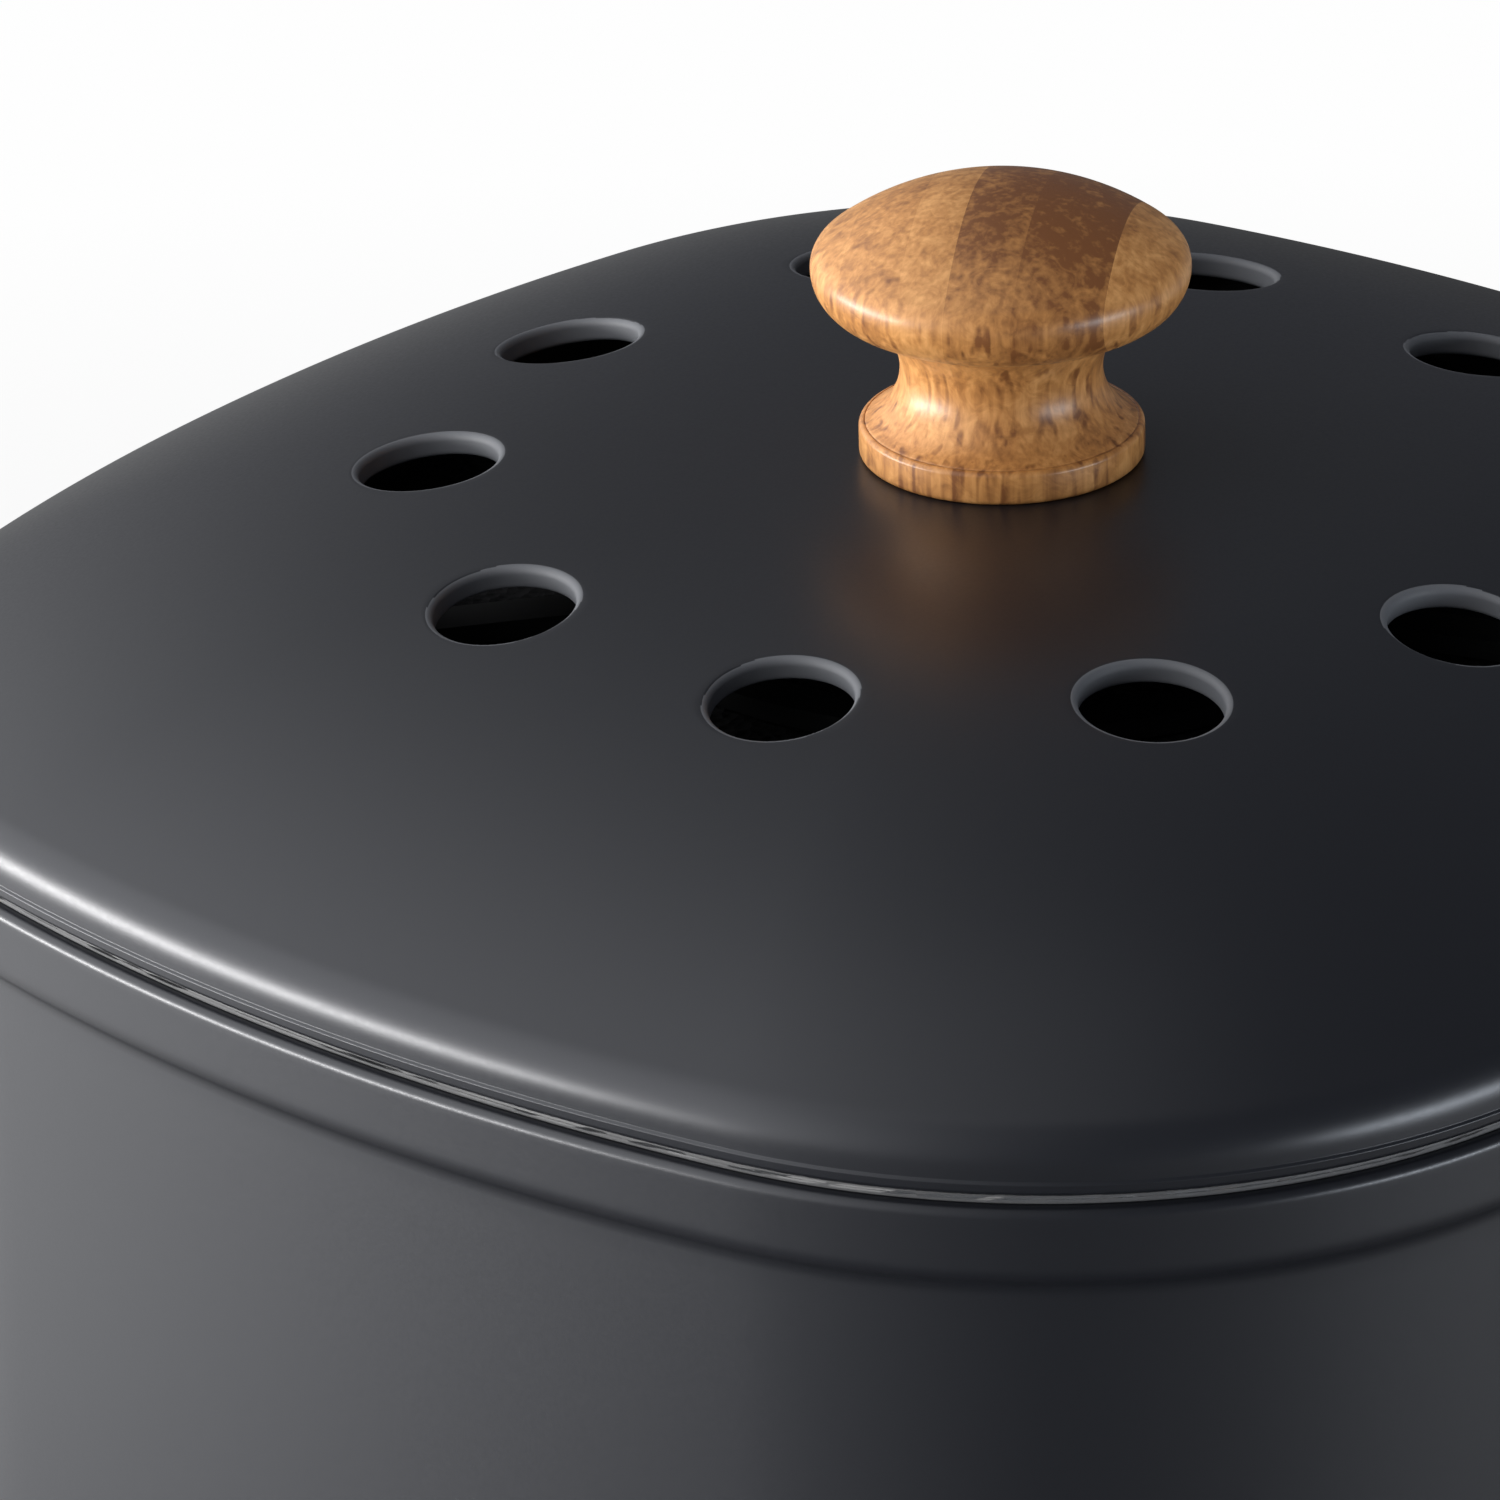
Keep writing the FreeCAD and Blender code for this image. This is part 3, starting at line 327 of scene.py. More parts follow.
def powderCoat():
    finish, shader, place = startFinish("powderCoat", {
        "Base Color": coat["colour"], "Specular IOR Level": coat["specular"],
        "Specular Tint": coat["tint"]})
    peel = noiseAt(finish, place, coat["peelScale"], 1.0)
    grain = noiseAt(finish, place, coat["grainScale"], 2.0)
    rough = spread(finish, grain, "Fac", coat["roughLow"], coat["roughHigh"])
    join(finish, rough, "Result", shader, "Roughness")
    addBump(finish, shader, [
        (peel, "Fac", coat["peelDepth"]), (grain, "Fac", coat["grainDepth"])])
    return finish


bamboo = {
    # colours from the palest tone to the darkest, each with its place on the scale of tones
    "tones": (
        (0.05, (0.66, 0.335, 0.118, 1.0)),
        (0.45, (0.47, 0.213, 0.064, 1.0)),
        (0.95, (0.20, 0.075, 0.024, 1.0)),
    ),
    "planeTurn": 29.7,
    # places across the strips, in millimetres from the knob's axis, and how dark each strip is
    "stripEdges": (-20.0, -12.6, -4.2, 2.35, 7.35, 14.0),
    "stripEnd": 20.0,
    "stripTones": (0.40, 1.02, 0.84, 0.36, 0.52, 0.40),
    "plainTone": 0.38,
    # the strips' own tones fade towards the front of the head and below it: the share that is
    # left there, and the places where the fade starts and ends, in metres
    "stripFront": 0.35,
    "fadeFront": -0.0185,
    "fadeBack": -0.0075,
    "stripBelow": 0.15,
    "fadeLow": 0.2320,
    "fadeHigh": 0.2350,
    # features per metre, how far each is drawn out along Z and how far it moves the tone
    "fibreScale": 1500.0,
    "fibreDrawn": 0.06,
    "fibreSwing": 0.16,
    "fibreDepth": 0.00002,
    "bundleScale": 620.0,
    "bundleDrawn": 0.12,
    "bundleSwing": 0.14,
    "bundleDepth": 0.00003,
    "cloudScale": 110.0,
    "cloudSwing": 0.14,
    "swirlScale": 420.0,
    "swirlTwist": 1.6,
    "swirlSwing": 0.17,
    # dark vertical strokes, which end between two heights on the head
    "strokeScale": 900.0,
    "strokeDrawn": 0.10,
    "strokeSwing": 0.42,
    "strokeFrom": 0.58,
    "strokeFull": 0.70,
    "topLow": 0.2370,
    "topHigh": 0.2400,
    "roughness": 0.36,
    "specular": 0.45,
}


def stripTones(finish, place):
    # the darkness of the glued strip at each place, with its own direction across
    turnBack = addNode(finish, "ShaderNodeMapping", {
        "Rotation": (0.0, 0.0, -math.radians(bamboo["planeTurn"]))})
    join(finish, place, "Object", turnBack, "Vector")
    split = addNode(finish, "ShaderNodeSeparateXYZ")
    join(finish, turnBack, "Vector", split, "Vector")
    low, high = bamboo["stripEdges"][0], bamboo["stripEnd"]
    across = addNode(finish, "ShaderNodeMapRange", {
        "From Min": low * millimetre, "From Max": high * millimetre})
    join(finish, split, "Y", across, "Value")
    tones = addNode(finish, "ShaderNodeValToRGB")
    tones.color_ramp.interpolation = "CONSTANT"
    setStops(tones, [((edge - low) / (high - low), tone)
                     for edge, tone in zip(bamboo["stripEdges"], bamboo["stripTones"])])
    join(finish, across, "Result", tones, "Fac")
    return tones, split


def bambooWood():
    finish, shader, place = startFinish("bambooWood", {
        "Roughness": bamboo["roughness"], "Specular IOR Level": bamboo["specular"]})
    tones, split = stripTones(finish, place)
    # fibres, bundles and strokes run up the knob, so they are drawn out along Z
    fibre = noiseAt(finish, place, bamboo["fibreScale"], 3.0,
                    stretch=(1.0, 1.0, bamboo["fibreDrawn"]))
    bundle = noiseAt(finish, place, bamboo["bundleScale"], 2.0,
                     stretch=(1.0, 1.0, bamboo["bundleDrawn"]), roughness=0.6)
    cloud = noiseAt(finish, place, bamboo["cloudScale"], 2.0)
    stroke = noiseAt(finish, place, bamboo["strokeScale"], 1.0,
                     stretch=(1.0, 1.0, bamboo["strokeDrawn"]), roughness=0.4)
    swirl = noiseAt(finish, place, bamboo["swirlScale"], 3.0, roughness=0.55)
    swirl.inputs["Distortion"].default_value = bamboo["swirlTwist"]
    alongStrip = spread(finish, split, "X", bamboo["stripFront"], 1.0,
                        bamboo["fadeFront"], bamboo["fadeBack"])
    height = addNode(finish, "ShaderNodeSeparateXYZ")
    join(finish, place, "Object", height, "Vector")
    inHead = spread(finish, height, "Z", bamboo["stripBelow"], 1.0,
                    bamboo["fadeLow"], bamboo["fadeHigh"])
    # the vertical strokes give way to a swirled figure over the top of the head
    onSide = spread(finish, height, "Z", 1.0, 0.0, bamboo["topLow"], bamboo["topHigh"])
    pores = spread(finish, stroke, "Fac", 0.0, bamboo["strokeSwing"],
                   bamboo["strokeFrom"], bamboo["strokeFull"])
    strokes = mathNode(finish, "MULTIPLY", (pores, "Result"), (onSide, "Result"))
    # tone = plain tone + (strip's tone - plain tone) * both fades + the figure + the strokes
    own = mathNode(finish, "SUBTRACT", (tones, "Color"), bamboo["plainTone"])
    own = mathNode(finish, "MULTIPLY", own, (alongStrip, "Result"))
    own = mathNode(finish, "MULTIPLY", own, (inHead, "Result"))
    total = mathNode(finish, "ADD", own, bamboo["plainTone"])
    for node, swing, fromLow, fromHigh in (
        (fibre, bamboo["fibreSwing"], 0.3, 0.7), (bundle, bamboo["bundleSwing"], 0.3, 0.7),
        (cloud, bamboo["cloudSwing"], 0.3, 0.7), (swirl, bamboo["swirlSwing"], 0.35, 0.65),
    ):
        part = spread(finish, node, "Fac", -swing, swing, fromLow, fromHigh)
        total = mathNode(finish, "ADD", total, (part, "Result"))
    total = mathNode(finish, "ADD", total, strokes)
    wood = addNode(finish, "ShaderNodeValToRGB")
    setStops(wood, bamboo["tones"])
    join(finish, *total, wood, "Fac")
    join(finish, wood, "Color", shader, "Base Color")
    addBump(finish, shader, [
        (fibre, "Fac", bamboo["fibreDepth"]), (bundle, "Fac", bamboo["bundleDepth"])])
    return finish


plastics = {
    # name, colour, roughness, grain in features per metre and the grain's depth in metres
    # the bucket's grey is partly its own and partly painted light, made paler for the stray light
    # in the gap under the lid
    "bucket_plastic": ("bucketPlasticAndPaintedLight", (0.085, 0.086, 0.09, 1.0), 0.45, 1500.0, 0.000008),
    "black_plastic": ("blackPlastic", (0.012, 0.012, 0.013, 1.0), 0.62, 1800.0, 0.000006),
    "silicone": ("siliconeBand", (0.045, 0.045, 0.048, 1.0), 0.6, 900.0, 0.000004),
    "rubber_foot": ("footRubber", (0.022, 0.022, 0.022, 1.0), 0.75, 1400.0, 0.00001),
}
wear = {
    "cloudScale": 60.0,
    "cloudSwing": 0.05,
}


def mouldedPlastic(name, colour, roughness, grainScale, grainDepth):
    finish, shader, place = startFinish(name, {"Base Color": colour})
    grain = noiseAt(finish, place, grainScale, 2.0)
    cloud = noiseAt(finish, place, wear["cloudScale"], 1.0)
    rough = spread(finish, cloud, "Fac", roughness - wear["cloudSwing"],
                   roughness + wear["cloudSwing"])
    join(finish, rough, "Result", shader, "Roughness")
    addBump(finish, shader, [(grain, "Fac", grainDepth)])
    return finish


metals = {
    # name, colour, roughness and the stretch of the brush marks
    "steel_wire": ("drawnWire", (0.58, 0.58, 0.59, 1.0), 0.28, (1.0, 0.08, 1.0)),
    "zinc_steel": ("zincPlate", (0.62, 0.63, 0.65, 1.0), 0.32, (1.0, 1.0, 1.0)),
    "brass_insert": ("turnedBrass", (0.72, 0.50, 0.23, 1.0), 0.3, (1.0, 1.0, 0.1)),
}
brush = {
    "scale": 2200.0,
    "swing": 0.06,
    "depth": 0.000004,
}


def brushedMetal(name, colour, roughness, stretch):
    finish, shader, place = startFinish(name, {"Base Color": colour, "Metallic": 1.0})
    marks = noiseAt(finish, place, brush["scale"], 2.0, stretch=stretch)
    rough = spread(finish, marks, "Fac", roughness - brush["swing"], roughness + brush["swing"])
    join(finish, rough, "Result", shader, "Roughness")
    addBump(finish, shader, [(marks, "Fac", brush["depth"])])
    return finish


foam = {
    "roughness": 0.95,
    "specular": 0.2,
    "cellScale": 900.0,
    "cellDepth": 0.0005,
    # painted shade: the colour from a cell's middle outwards, darkest in the middle where the bump
    # sinks the face
    "tones": ((0.0, (0.004, 0.004, 0.005, 1.0)), (0.5, (0.022, 0.022, 0.024, 1.0))),
}


def carbonFoam():
    finish, shader, place = startFinish("carbonFoam", {
        "Roughness": foam["roughness"], "Specular IOR Level": foam["specular"]})
    cells = addNode(finish, "ShaderNodeTexVoronoi", {"Scale": foam["cellScale"]})
    join(finish, place, "Object", cells, "Vector")
    # painted shade: each cell is darkened towards its middle, the hollow that the bump makes
    tone = addNode(finish, "ShaderNodeValToRGB")
    setStops(tone, foam["tones"])
    join(finish, cells, "Distance", tone, "Fac")
    join(finish, tone, "Color", shader, "Base Color")
    addBump(finish, shader, [(cells, "Distance", foam["cellDepth"])])
    return finish


finishes = {"powder_coat": powderCoat(), "vent_painted_light": ventPaintedLightCoat(), "bamboo": bambooWood()}
finishes.update({slot: mouldedPlastic(*values) for slot, values in plastics.items()})
finishes.update({slot: brushedMetal(*values) for slot, values in metals.items()})
finishes["carbon_foam"] = carbonFoam()
print("finishes made")


def settle(piece, body, finishName, *nodes):
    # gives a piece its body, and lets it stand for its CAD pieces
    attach(piece, body)
    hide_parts(*nodes)


# The can's wall: a straight wall, a step out to the collar and a bead curled over at the rim.
can = {
    "steel": 0.8,
    "collarStep": 1.9,
    "collarHeight": 8.0,
    "bendRadius": 2.5,
    "beadRadius": 1.2,
    "curlTurn": 250.0,
    "footEdge": 0.3,
    # straight runs start this far from the wall's bends and from the bead
    "wallRun": 2.0,
    "beadRun": 0.6,
    "bendSteps": 7,
    "curlSteps": 24,
    "hemSteps": 9,
}


def canShell():
    # a section carried along the outline: up the wall from its rolled foot, out over the step,
    # round the bead and down again inside
    rim, bottom = canHigh[2], canLow[2]
    steel, bend, bead = can["steel"], can["bendRadius"], can["beadRadius"]
    wallRun, beadRun, steps = can["wallRun"], can["beadRun"], can["bendSteps"]
    wall = -can["collarStep"]
    half = can["collarStep"] / 2
    middle = rim - can["collarHeight"]
    lean = math.degrees(math.acos(1 - half / bend))
    rise = bend * math.sin(math.radians(lean))
    lower = arcRun((wall + bend, middle - rise), bend, 180, 180 - lean, steps)
    upper = arcRun((-bend, middle + rise), bend, -lean, 0, steps)[1:]
    innerBend = bend - steel
    above = middle + rise + steel * half / rise
    below = middle - rise + steel * half / rise
    innerUpper = arcRun((-steel - innerBend, above), innerBend, 0, -lean, steps)
    innerLower = arcRun((wall - steel + bend, below), bend, 180 - lean, 180, steps)[1:]
    curl = arcRun((-bead, rim - bead), bead, 0, can["curlTurn"], can["curlSteps"])
    hem = arcRun((wall - steel / 2, bottom + can["footEdge"]), steel / 2, -180, 0, can["hemSteps"])
    profile = np.concatenate([
        hem,
        [[wall, bottom + wallRun], [wall, middle - rise - wallRun]],
        lower,
        upper,
        [[0, middle + rise + beadRun], [0, rim - bead - beadRun]],
        curl,
        [[-steel, rim - 2 * bead - beadRun]],
        innerUpper,
        innerLower,
        [[wall - steel, middle - rise - wallRun], [wall - steel, bottom + wallRun]],
    ])
    grid = alongOutline(profile)
    piece = newPiece("canShell", [np.concatenate([grid, grid[:1]])], finishes["powder_coat"])
    settle(piece, "can", "powder_coat", "outer_shell")


canShell()
print("can made")

# The bucket: a flange that hangs on the rim, a tapered wall, a rounded heel, a floor and two ears.
bucket = {
    "plastic": 1.6,
    "flangeThickness": 1.2,
    "flangeInset": 1.0,
    "wallInset": 4.9,
    "taper": 4.5,
    "heel": 10.0,
    "heelRunShare": 3,
    "edge": 0.35,
    "cornerSteps": 7,
    "cornerMargin": 0.8,
    "earRadius": 4.5,
    "earLength": 5.5,
    "earHeight": 174.6,
    "boreRadius": 1.55,
    "boreDepth": 5.0,
    "boreEdge": 0.15,
    "seatEdge": 0.1,
    "earSteps": 48,
    "floorShares": (0.97, 0.8, 0.5, 0.2, 0.0),
}


def bucketShell():
    # a section carried along the outline: out from the floor, up the wall to the flange, and
    # back down inside; both floors then run to the middle
    top, bottom = bucketHigh[2], bucketLow[2]
    wall, edge, heel = bucket["plastic"], bucket["edge"], bucket["heel"]
    under = top - bucket["flangeThickness"]
    outside = -bucket["wallInset"]
    foot = outside - bucket["taper"]
    mouth = outside - wall
    floorEdge = foot - bucket["heelRunShare"] * heel
    rows = roundedPath([
        (floorEdge, bottom, 0.0),
        (foot, bottom, heel),
        (outside, under, edge),
        (-bucket["flangeInset"], under, edge),
        (-bucket["flangeInset"], top, edge),
        (mouth, top, edge * 2),
        (foot - wall, bottom + wall, heel - wall),
        (floorEdge, bottom + wall, 0.0),
    ], steps=bucket["cornerSteps"], closed=False, margin=bucket["cornerMargin"])
    grid = alongOutline(rows)
    below = toMiddle(grid[0], bucket["floorShares"])
    above = toMiddle(grid[-1], bucket["floorShares"])
    return np.concatenate([below[::-1], grid, above])


def bucketEar(side):
    # a turned boss with a bore in its inner end, laid along Y and set into the wall
    radius, length, bore = bucket["earRadius"], bucket["earLength"], bucket["boreRadius"]
    mouthHalf = outline["halfWidth"] - bucket["wallInset"] - bucket["plastic"]
    near = mouthHalf - length
    far = near + bucket["boreDepth"]
    edge, seat = bucket["edge"], bucket["seatEdge"]
    rows = roundedPath([
        (0.0, far, 0.0),
        (bore, far, seat),
        (bore, near, bucket["boreEdge"]),
        (radius, near, edge),
        (radius, mouthHalf + edge, seat),
        (0.0, mouthHalf + edge, 0.0),
    ], closed=False)
    turned = turnedGrid(rows, bucket["earSteps"])
    x, y, along = turned[..., 0], turned[..., 1], turned[..., 2]
    return np.stack([x * side, along * side, y + bucket["earHeight"]], axis=2)


bucketPiece = newPiece("bucketShell", [bucketShell(), bucketEar(1), bucketEar(-1)],
                       finishes["bucket_plastic"])
settle(evenShading(bucketPiece), "bucket", "bucket_plastic", "inner_bucket")
print("bucket made")

# The lid: a dome with a rounded shoulder and drawn vents, a skirt and a rolled hem.
lid = {
    "steel": 0.8,
    "domeDrop": 20.95,
    "domePower": 3.33,
    "shoulderRadius": 5.5,
    # the hem's section from the skirt round to its inside: across from the skirt, up from the
    # hem's foot, and the corner's radius
    "hemSection": (
        (0.0, 1.52, 0.12), (0.22, 1.24, 0.16), (0.05, 0.45, 0.3), (-0.35, 0.0, 0.25),
        (-0.7, 0.0, 0.3), (-1.0, 1.4, 0.2), (-0.8, 1.7, 0.1),
    ),
    "hemRun": 0.3,
    "screwHole": 3.0,
    "ventCount": 10,
    "ventRing": 56.9,
    "ventRadius": 7.0,
    "ventLip": 0.7,
    "ventDepth": 2.3,
    # short straight runs in a vent's wall: under its lip, over its lower edge and behind
    "lipRun": 0.15,
    "footRun": 0.65,
    "backRun": 0.3,
    "lipSteps": 9,
    "paintDepth": -0.10,
    "paintReach": 1.0,
    "patchReach": 12.6,
    "patchSteps": 34,
    "patchAcross": 20,
    "patchRows": 9,
    "patchEase": 1.3,
    "innerRows": 14,
    "outerRows": 26,
    "outerEase": 1.6,
    "shoulderRows": 15,
    "tangentSteps": 20,
}


def domeFall(share):
    # fall from the crown = drop * share ** power, where share is the distance from the middle as a
    # share of the outline's distance in the same direction
    return lid["domeDrop"] * share ** lid["domePower"]


def domeSlope(share, half):
    # slope = power * drop * share ** (power - 1) / half width
    return lid["domePower"] * lid["domeDrop"] * share ** (lid["domePower"] - 1) / half


def lidFace(inset):
    # the outer face of the lid, or the inner one, a sheet's thickness inside it
    half, corner, side, place, spreadAngle = outlineParts(inset)
    crown = lidHigh[2] - inset
    radius = lid["shoulderRadius"] - inset
    share = 1 - radius / half / 2
    for _ in range(lid["tangentSteps"]):
        lean = math.atan(domeSlope(share, half))
        share = (half - radius + radius * math.sin(lean)) / half
    centre = crown - domeFall(share) - radius * math.cos(lean)
    return {"half": half, "corner": corner, "side": side, "place": place, "spread": spreadAngle,
            "crown": crown, "shoulder": radius, "edgeShare": share, "lean": lean,
            "centre": centre}


def outlineFrom(face, angle):
    # distance from the middle to the outline in a direction, and the outward direction there
    quarter = np.round(angle / (math.pi / 2))
    local = angle - quarter * math.pi / 2
    turn = face["spread"]
    jointX = face["half"] - face["side"] + face["side"] * math.cos(turn)
    jointY = face["side"] * math.sin(turn)
    isSide = np.abs(local) < math.atan2(jointY, jointX)
    centreX = np.where(isSide, face["half"] - face["side"], face["place"])
    centreY = np.where(isSide, 0.0, np.sign(local) * face["place"])
    radius = np.where(isSide, face["side"], face["corner"])
    along = centreX * np.cos(local) + centreY * np.sin(local)
    reach = along + np.sqrt(along ** 2 - centreX ** 2 - centreY ** 2 + radius ** 2)
    outX = (reach * np.cos(local) - centreX) / radius
    outY = (reach * np.sin(local) - centreY) / radius
    back = quarter * math.pi / 2
    outward = np.stack([outX * np.cos(back) - outY * np.sin(back),
                        outX * np.sin(back) + outY * np.cos(back)], axis=-1)
    return reach, outward


def domePoints(face, x, y):
    # height = crown - fall at the point's share of the outline's distance
    reach, _ = outlineFrom(face, np.arctan2(y, x))
    share = np.hypot(x, y) / reach
    return np.stack([x, y, face["crown"] - domeFall(share)], axis=-1)


def ventFrames(face):
    # each vent's middle on the dome, two directions in its plane and the direction out of it
    turn = math.pi / 2 + np.arange(lid["ventCount"]) * 2 * math.pi / lid["ventCount"]
    radial = np.stack([np.cos(turn), np.sin(turn)], axis=1)
    sideways = np.stack([-radial[:, 1], radial[:, 0]], axis=1)
    middle = radial * lid["ventRing"]
    reach = lid["ventRadius"]

    def sheet(places):
        return domePoints(face, places[:, 0], places[:, 1])

    out = unit(sheet(middle + radial * reach) - sheet(middle - radial * reach))
    around = sheet(middle + sideways * reach) - sheet(middle - sideways * reach)
    normal = unit(np.cross(out, around))
    return sheet(middle), out, np.cross(normal, out), normal, turn


def ventRingPoints(frames, turn, radius, depth):
    # point = middle + radius * (cos * out + sin * around) + depth * normal, for every vent
    middle, out, around, normal, _ = frames
    across = np.cos(turn)[..., None] * out[:, None] + np.sin(turn)[..., None] * around[:, None]
    return middle[:, None] + radius * across + depth * normal[:, None]


def patchLoop():
    # once round a vent's patch: the far arc, one side, the near arc and the other side, as
    # angles from the vent's direction and distances from the lid's middle
    half = math.pi / lid["ventCount"]
    near, far = lid["ventRing"] - lid["patchReach"], lid["ventRing"] + lid["patchReach"]
    arc, across = lid["patchSteps"], lid["patchAcross"]
    angle = np.concatenate([
        np.linspace(-half, half, arc, endpoint=False), np.full(across, half),
        np.linspace(half, -half, arc, endpoint=False), np.full(across, -half)])
    distance = np.concatenate([
        np.full(arc, far), np.linspace(far, near, across, endpoint=False),
        np.full(arc, near), np.linspace(near, far, across, endpoint=False)])
    return angle, distance


def ventPatches(face, frames, radius):
    # point = hole's edge + share * (patch's edge - hole's edge), raised onto the dome
    angle, distance = patchLoop()
    turn = np.arctan2(distance * np.sin(angle), distance * np.cos(angle) - lid["ventRing"])
    hole = ventRingPoints(frames, np.broadcast_to(turn, (lid["ventCount"], len(turn))), radius, 0)
    whole = frames[4][:, None] + angle
    edge = distance[None, :, None] * np.stack([np.cos(whole), np.sin(whole)], axis=-1)
    share = np.linspace(0, 1, lid["patchRows"])[None, :, None, None] ** lid["patchEase"]
    flat = hole[:, None, :, :2] * (1 - share) + edge[:, None] * share
    return domePoints(face, flat[..., 0], flat[..., 1]), turn


def ventWalls(frames, turn, top, bottom):
    # the drawn wall of each vent: a rounded lip, a straight wall, a round lower edge and the
    # outside again; both ends slide onto the two faces of the dome
    radius, lip, steel = lid["ventRadius"], lid["ventLip"], lid["steel"]
    depth, steps, back = lid["ventDepth"], lid["lipSteps"], lid["ventRadius"] + lid["steel"]
    rows = np.concatenate([
        arcRun((radius + lip, -lip), lip, 90, 180, steps),
        [[radius, -lip - lid["lipRun"]], [radius, lid["footRun"] - depth]],
        arcRun((radius + steel / 2, steel / 2 - depth), steel / 2, -180, 0, steps),
        [[back, -steel - lid["backRun"]], [back, -steel]],
    ])
    turn = np.broadcast_to(turn, (lid["ventCount"], len(turn)))
    grid = np.stack([ventRingPoints(frames, turn, r, h) for r, h in rows], axis=1)
    share = np.linspace(0, 1, len(rows))[None, :, None, None]
    grid += (top - grid[:, 0])[:, None] * (1 - share) + (bottom - grid[:, -1])[:, None] * share
    return grid


def lidRows(face, angles):
    # from the hole in the middle to the patches, and from the patches to the foot of the skirt
    near, far = lid["ventRing"] - lid["patchReach"], lid["ventRing"] + lid["patchReach"]
    reach, _ = outlineFrom(face, angles)

    def onDome(distance):
        return domePoints(face, distance * np.cos(angles), distance * np.sin(angles))

    inside = np.linspace(lid["screwHole"], near, lid["innerRows"])[:, None] * np.ones_like(angles)
    share = 1 - (1 - np.linspace(0, 1, lid["outerRows"])[:, None]) ** lid["outerEase"]
    outside = far + (reach * face["edgeShare"] - far) * share
    lean = np.linspace(face["lean"], math.pi / 2, lid["shoulderRows"])[1:, None]
    half, radius = face["half"], face["shoulder"]
    distance = (half - radius + radius * np.sin(lean)) / half * reach
    height = np.broadcast_to(face["centre"] + radius * np.cos(lean), distance.shape)
    shoulder = np.stack([distance * np.cos(angles), distance * np.sin(angles), height], axis=-1)
    return onDome(inside), np.concatenate([onDome(outside), shoulder])


def hemRows(outer, angles):
    # the rolled edge below the skirt, as offsets from the outline and heights
    reach, outward = outlineFrom(outer, angles)
    start = outer["centre"] - lid["hemRun"]
    section = [(across, lidLow[2] + up, radius) for across, up, radius in lid["hemSection"]]
    rows = roundedPath([(0.0, start, 0.0), *section, (-lid["steel"], start, 0.0)], closed=False)
    base = reach[:, None] * np.stack([np.cos(angles), np.sin(angles)], axis=1)
    flat = base[None] + rows[:, None, :1] * outward[None]
    return np.concatenate([flat, np.broadcast_to(rows[:, None, 1:], flat.shape[:2] + (1,))], axis=2)


def paintVents(piece, frames):
    # painted light: the paler copy of the coat goes on every face that lies within a vent's wall
    # and below the dome's face
    piece.data.materials.append(finishes["vent_painted_light"])
    polygons = piece.data.polygons
    centres = np.empty(len(polygons) * 3)
    polygons.foreach_get("center", centres)
    centres = centres.reshape(-1, 3) / millimetre
    middle, normal = frames[0], frames[3]
    offset = centres[None] - middle[:, None]
    depth = np.einsum("vfk,vk->vf", offset, normal)
    across = np.linalg.norm(offset - depth[..., None] * normal[:, None], axis=-1)
    reach = lid["ventRadius"] + lid["ventLip"]
    lowest = -lid["ventDepth"] - lid["paintReach"]
    inWall = (across < reach) & (depth < lid["paintDepth"]) & (depth > lowest)
    polygons.foreach_set("material_index", inWall.any(axis=0).astype(np.int32))


def lidShell():
    # the two faces of the sheet, with a patch round each vent, joined by the vents' walls, the
    # hole in the middle and the hem
    outer, inner = lidFace(0.0), lidFace(lid["steel"])
    frames = ventFrames(outer)
    count = lid["ventCount"] * lid["patchSteps"]
    first = math.pi / 2 - math.pi / lid["ventCount"]
    angles = first + np.arange(count) * 2 * math.pi / count
    top, turn = ventPatches(outer, frames, lid["ventRadius"] + lid["ventLip"])
    bottom, _ = ventPatches(inner, frames, lid["ventRadius"] + lid["steel"])
    walls = ventWalls(frames, turn, top[:, 0], bottom[:, 0])
    outerIn, outerOut = lidRows(outer, angles)
    innerIn, innerOut = lidRows(inner, angles)
    hem = hemRows(outer, angles)
    rim = np.concatenate([outerOut, hem, innerOut[::-1]])
    hole = np.concatenate([innerIn[:1], outerIn[:1]])
    blocks = [outerIn, innerIn, rim, hole, *top, *bottom, *walls]
    piece = newPiece("lidShell", blocks, finishes["powder_coat"])
    paintVents(piece, frames)
    settle(piece, "lid", "powder_coat", "lid_shell")


lidShell()
print("lid made")

# The knob: a low base with a hairline over it, a waisted neck and a wide domed head.
knob = {
    "baseRadius": 14.1,
    "baseHeight": 3.5,
    "baseEdge": 0.6,
    "neckRadius": 10.0,
    "neckHeight": 9.1,
    "headRadius": 18.7,
    "headHeight": 19.7,
    "crownHeight": 27.9,
    "rimRadius": 2.9,
    "boreRadius": 4.05,
    "boreDepth": 12.6,
    "boreEdge": 0.3,
    "grooveDepth": 0.04,
    # angles at the base's shoulder and past the hairline, where the neck's hollow starts
    "baseTurn": 80.0,
    "grooveTurn": 10.0,
    "coveGap": 2.5,
    "roundSteps": 160,
    "arcSteps": {"bore": 4, "base": 8, "groove": 5, "neck": 20, "flare": 28, "under": 30,
                 "rim": 16, "crown": 34},
}


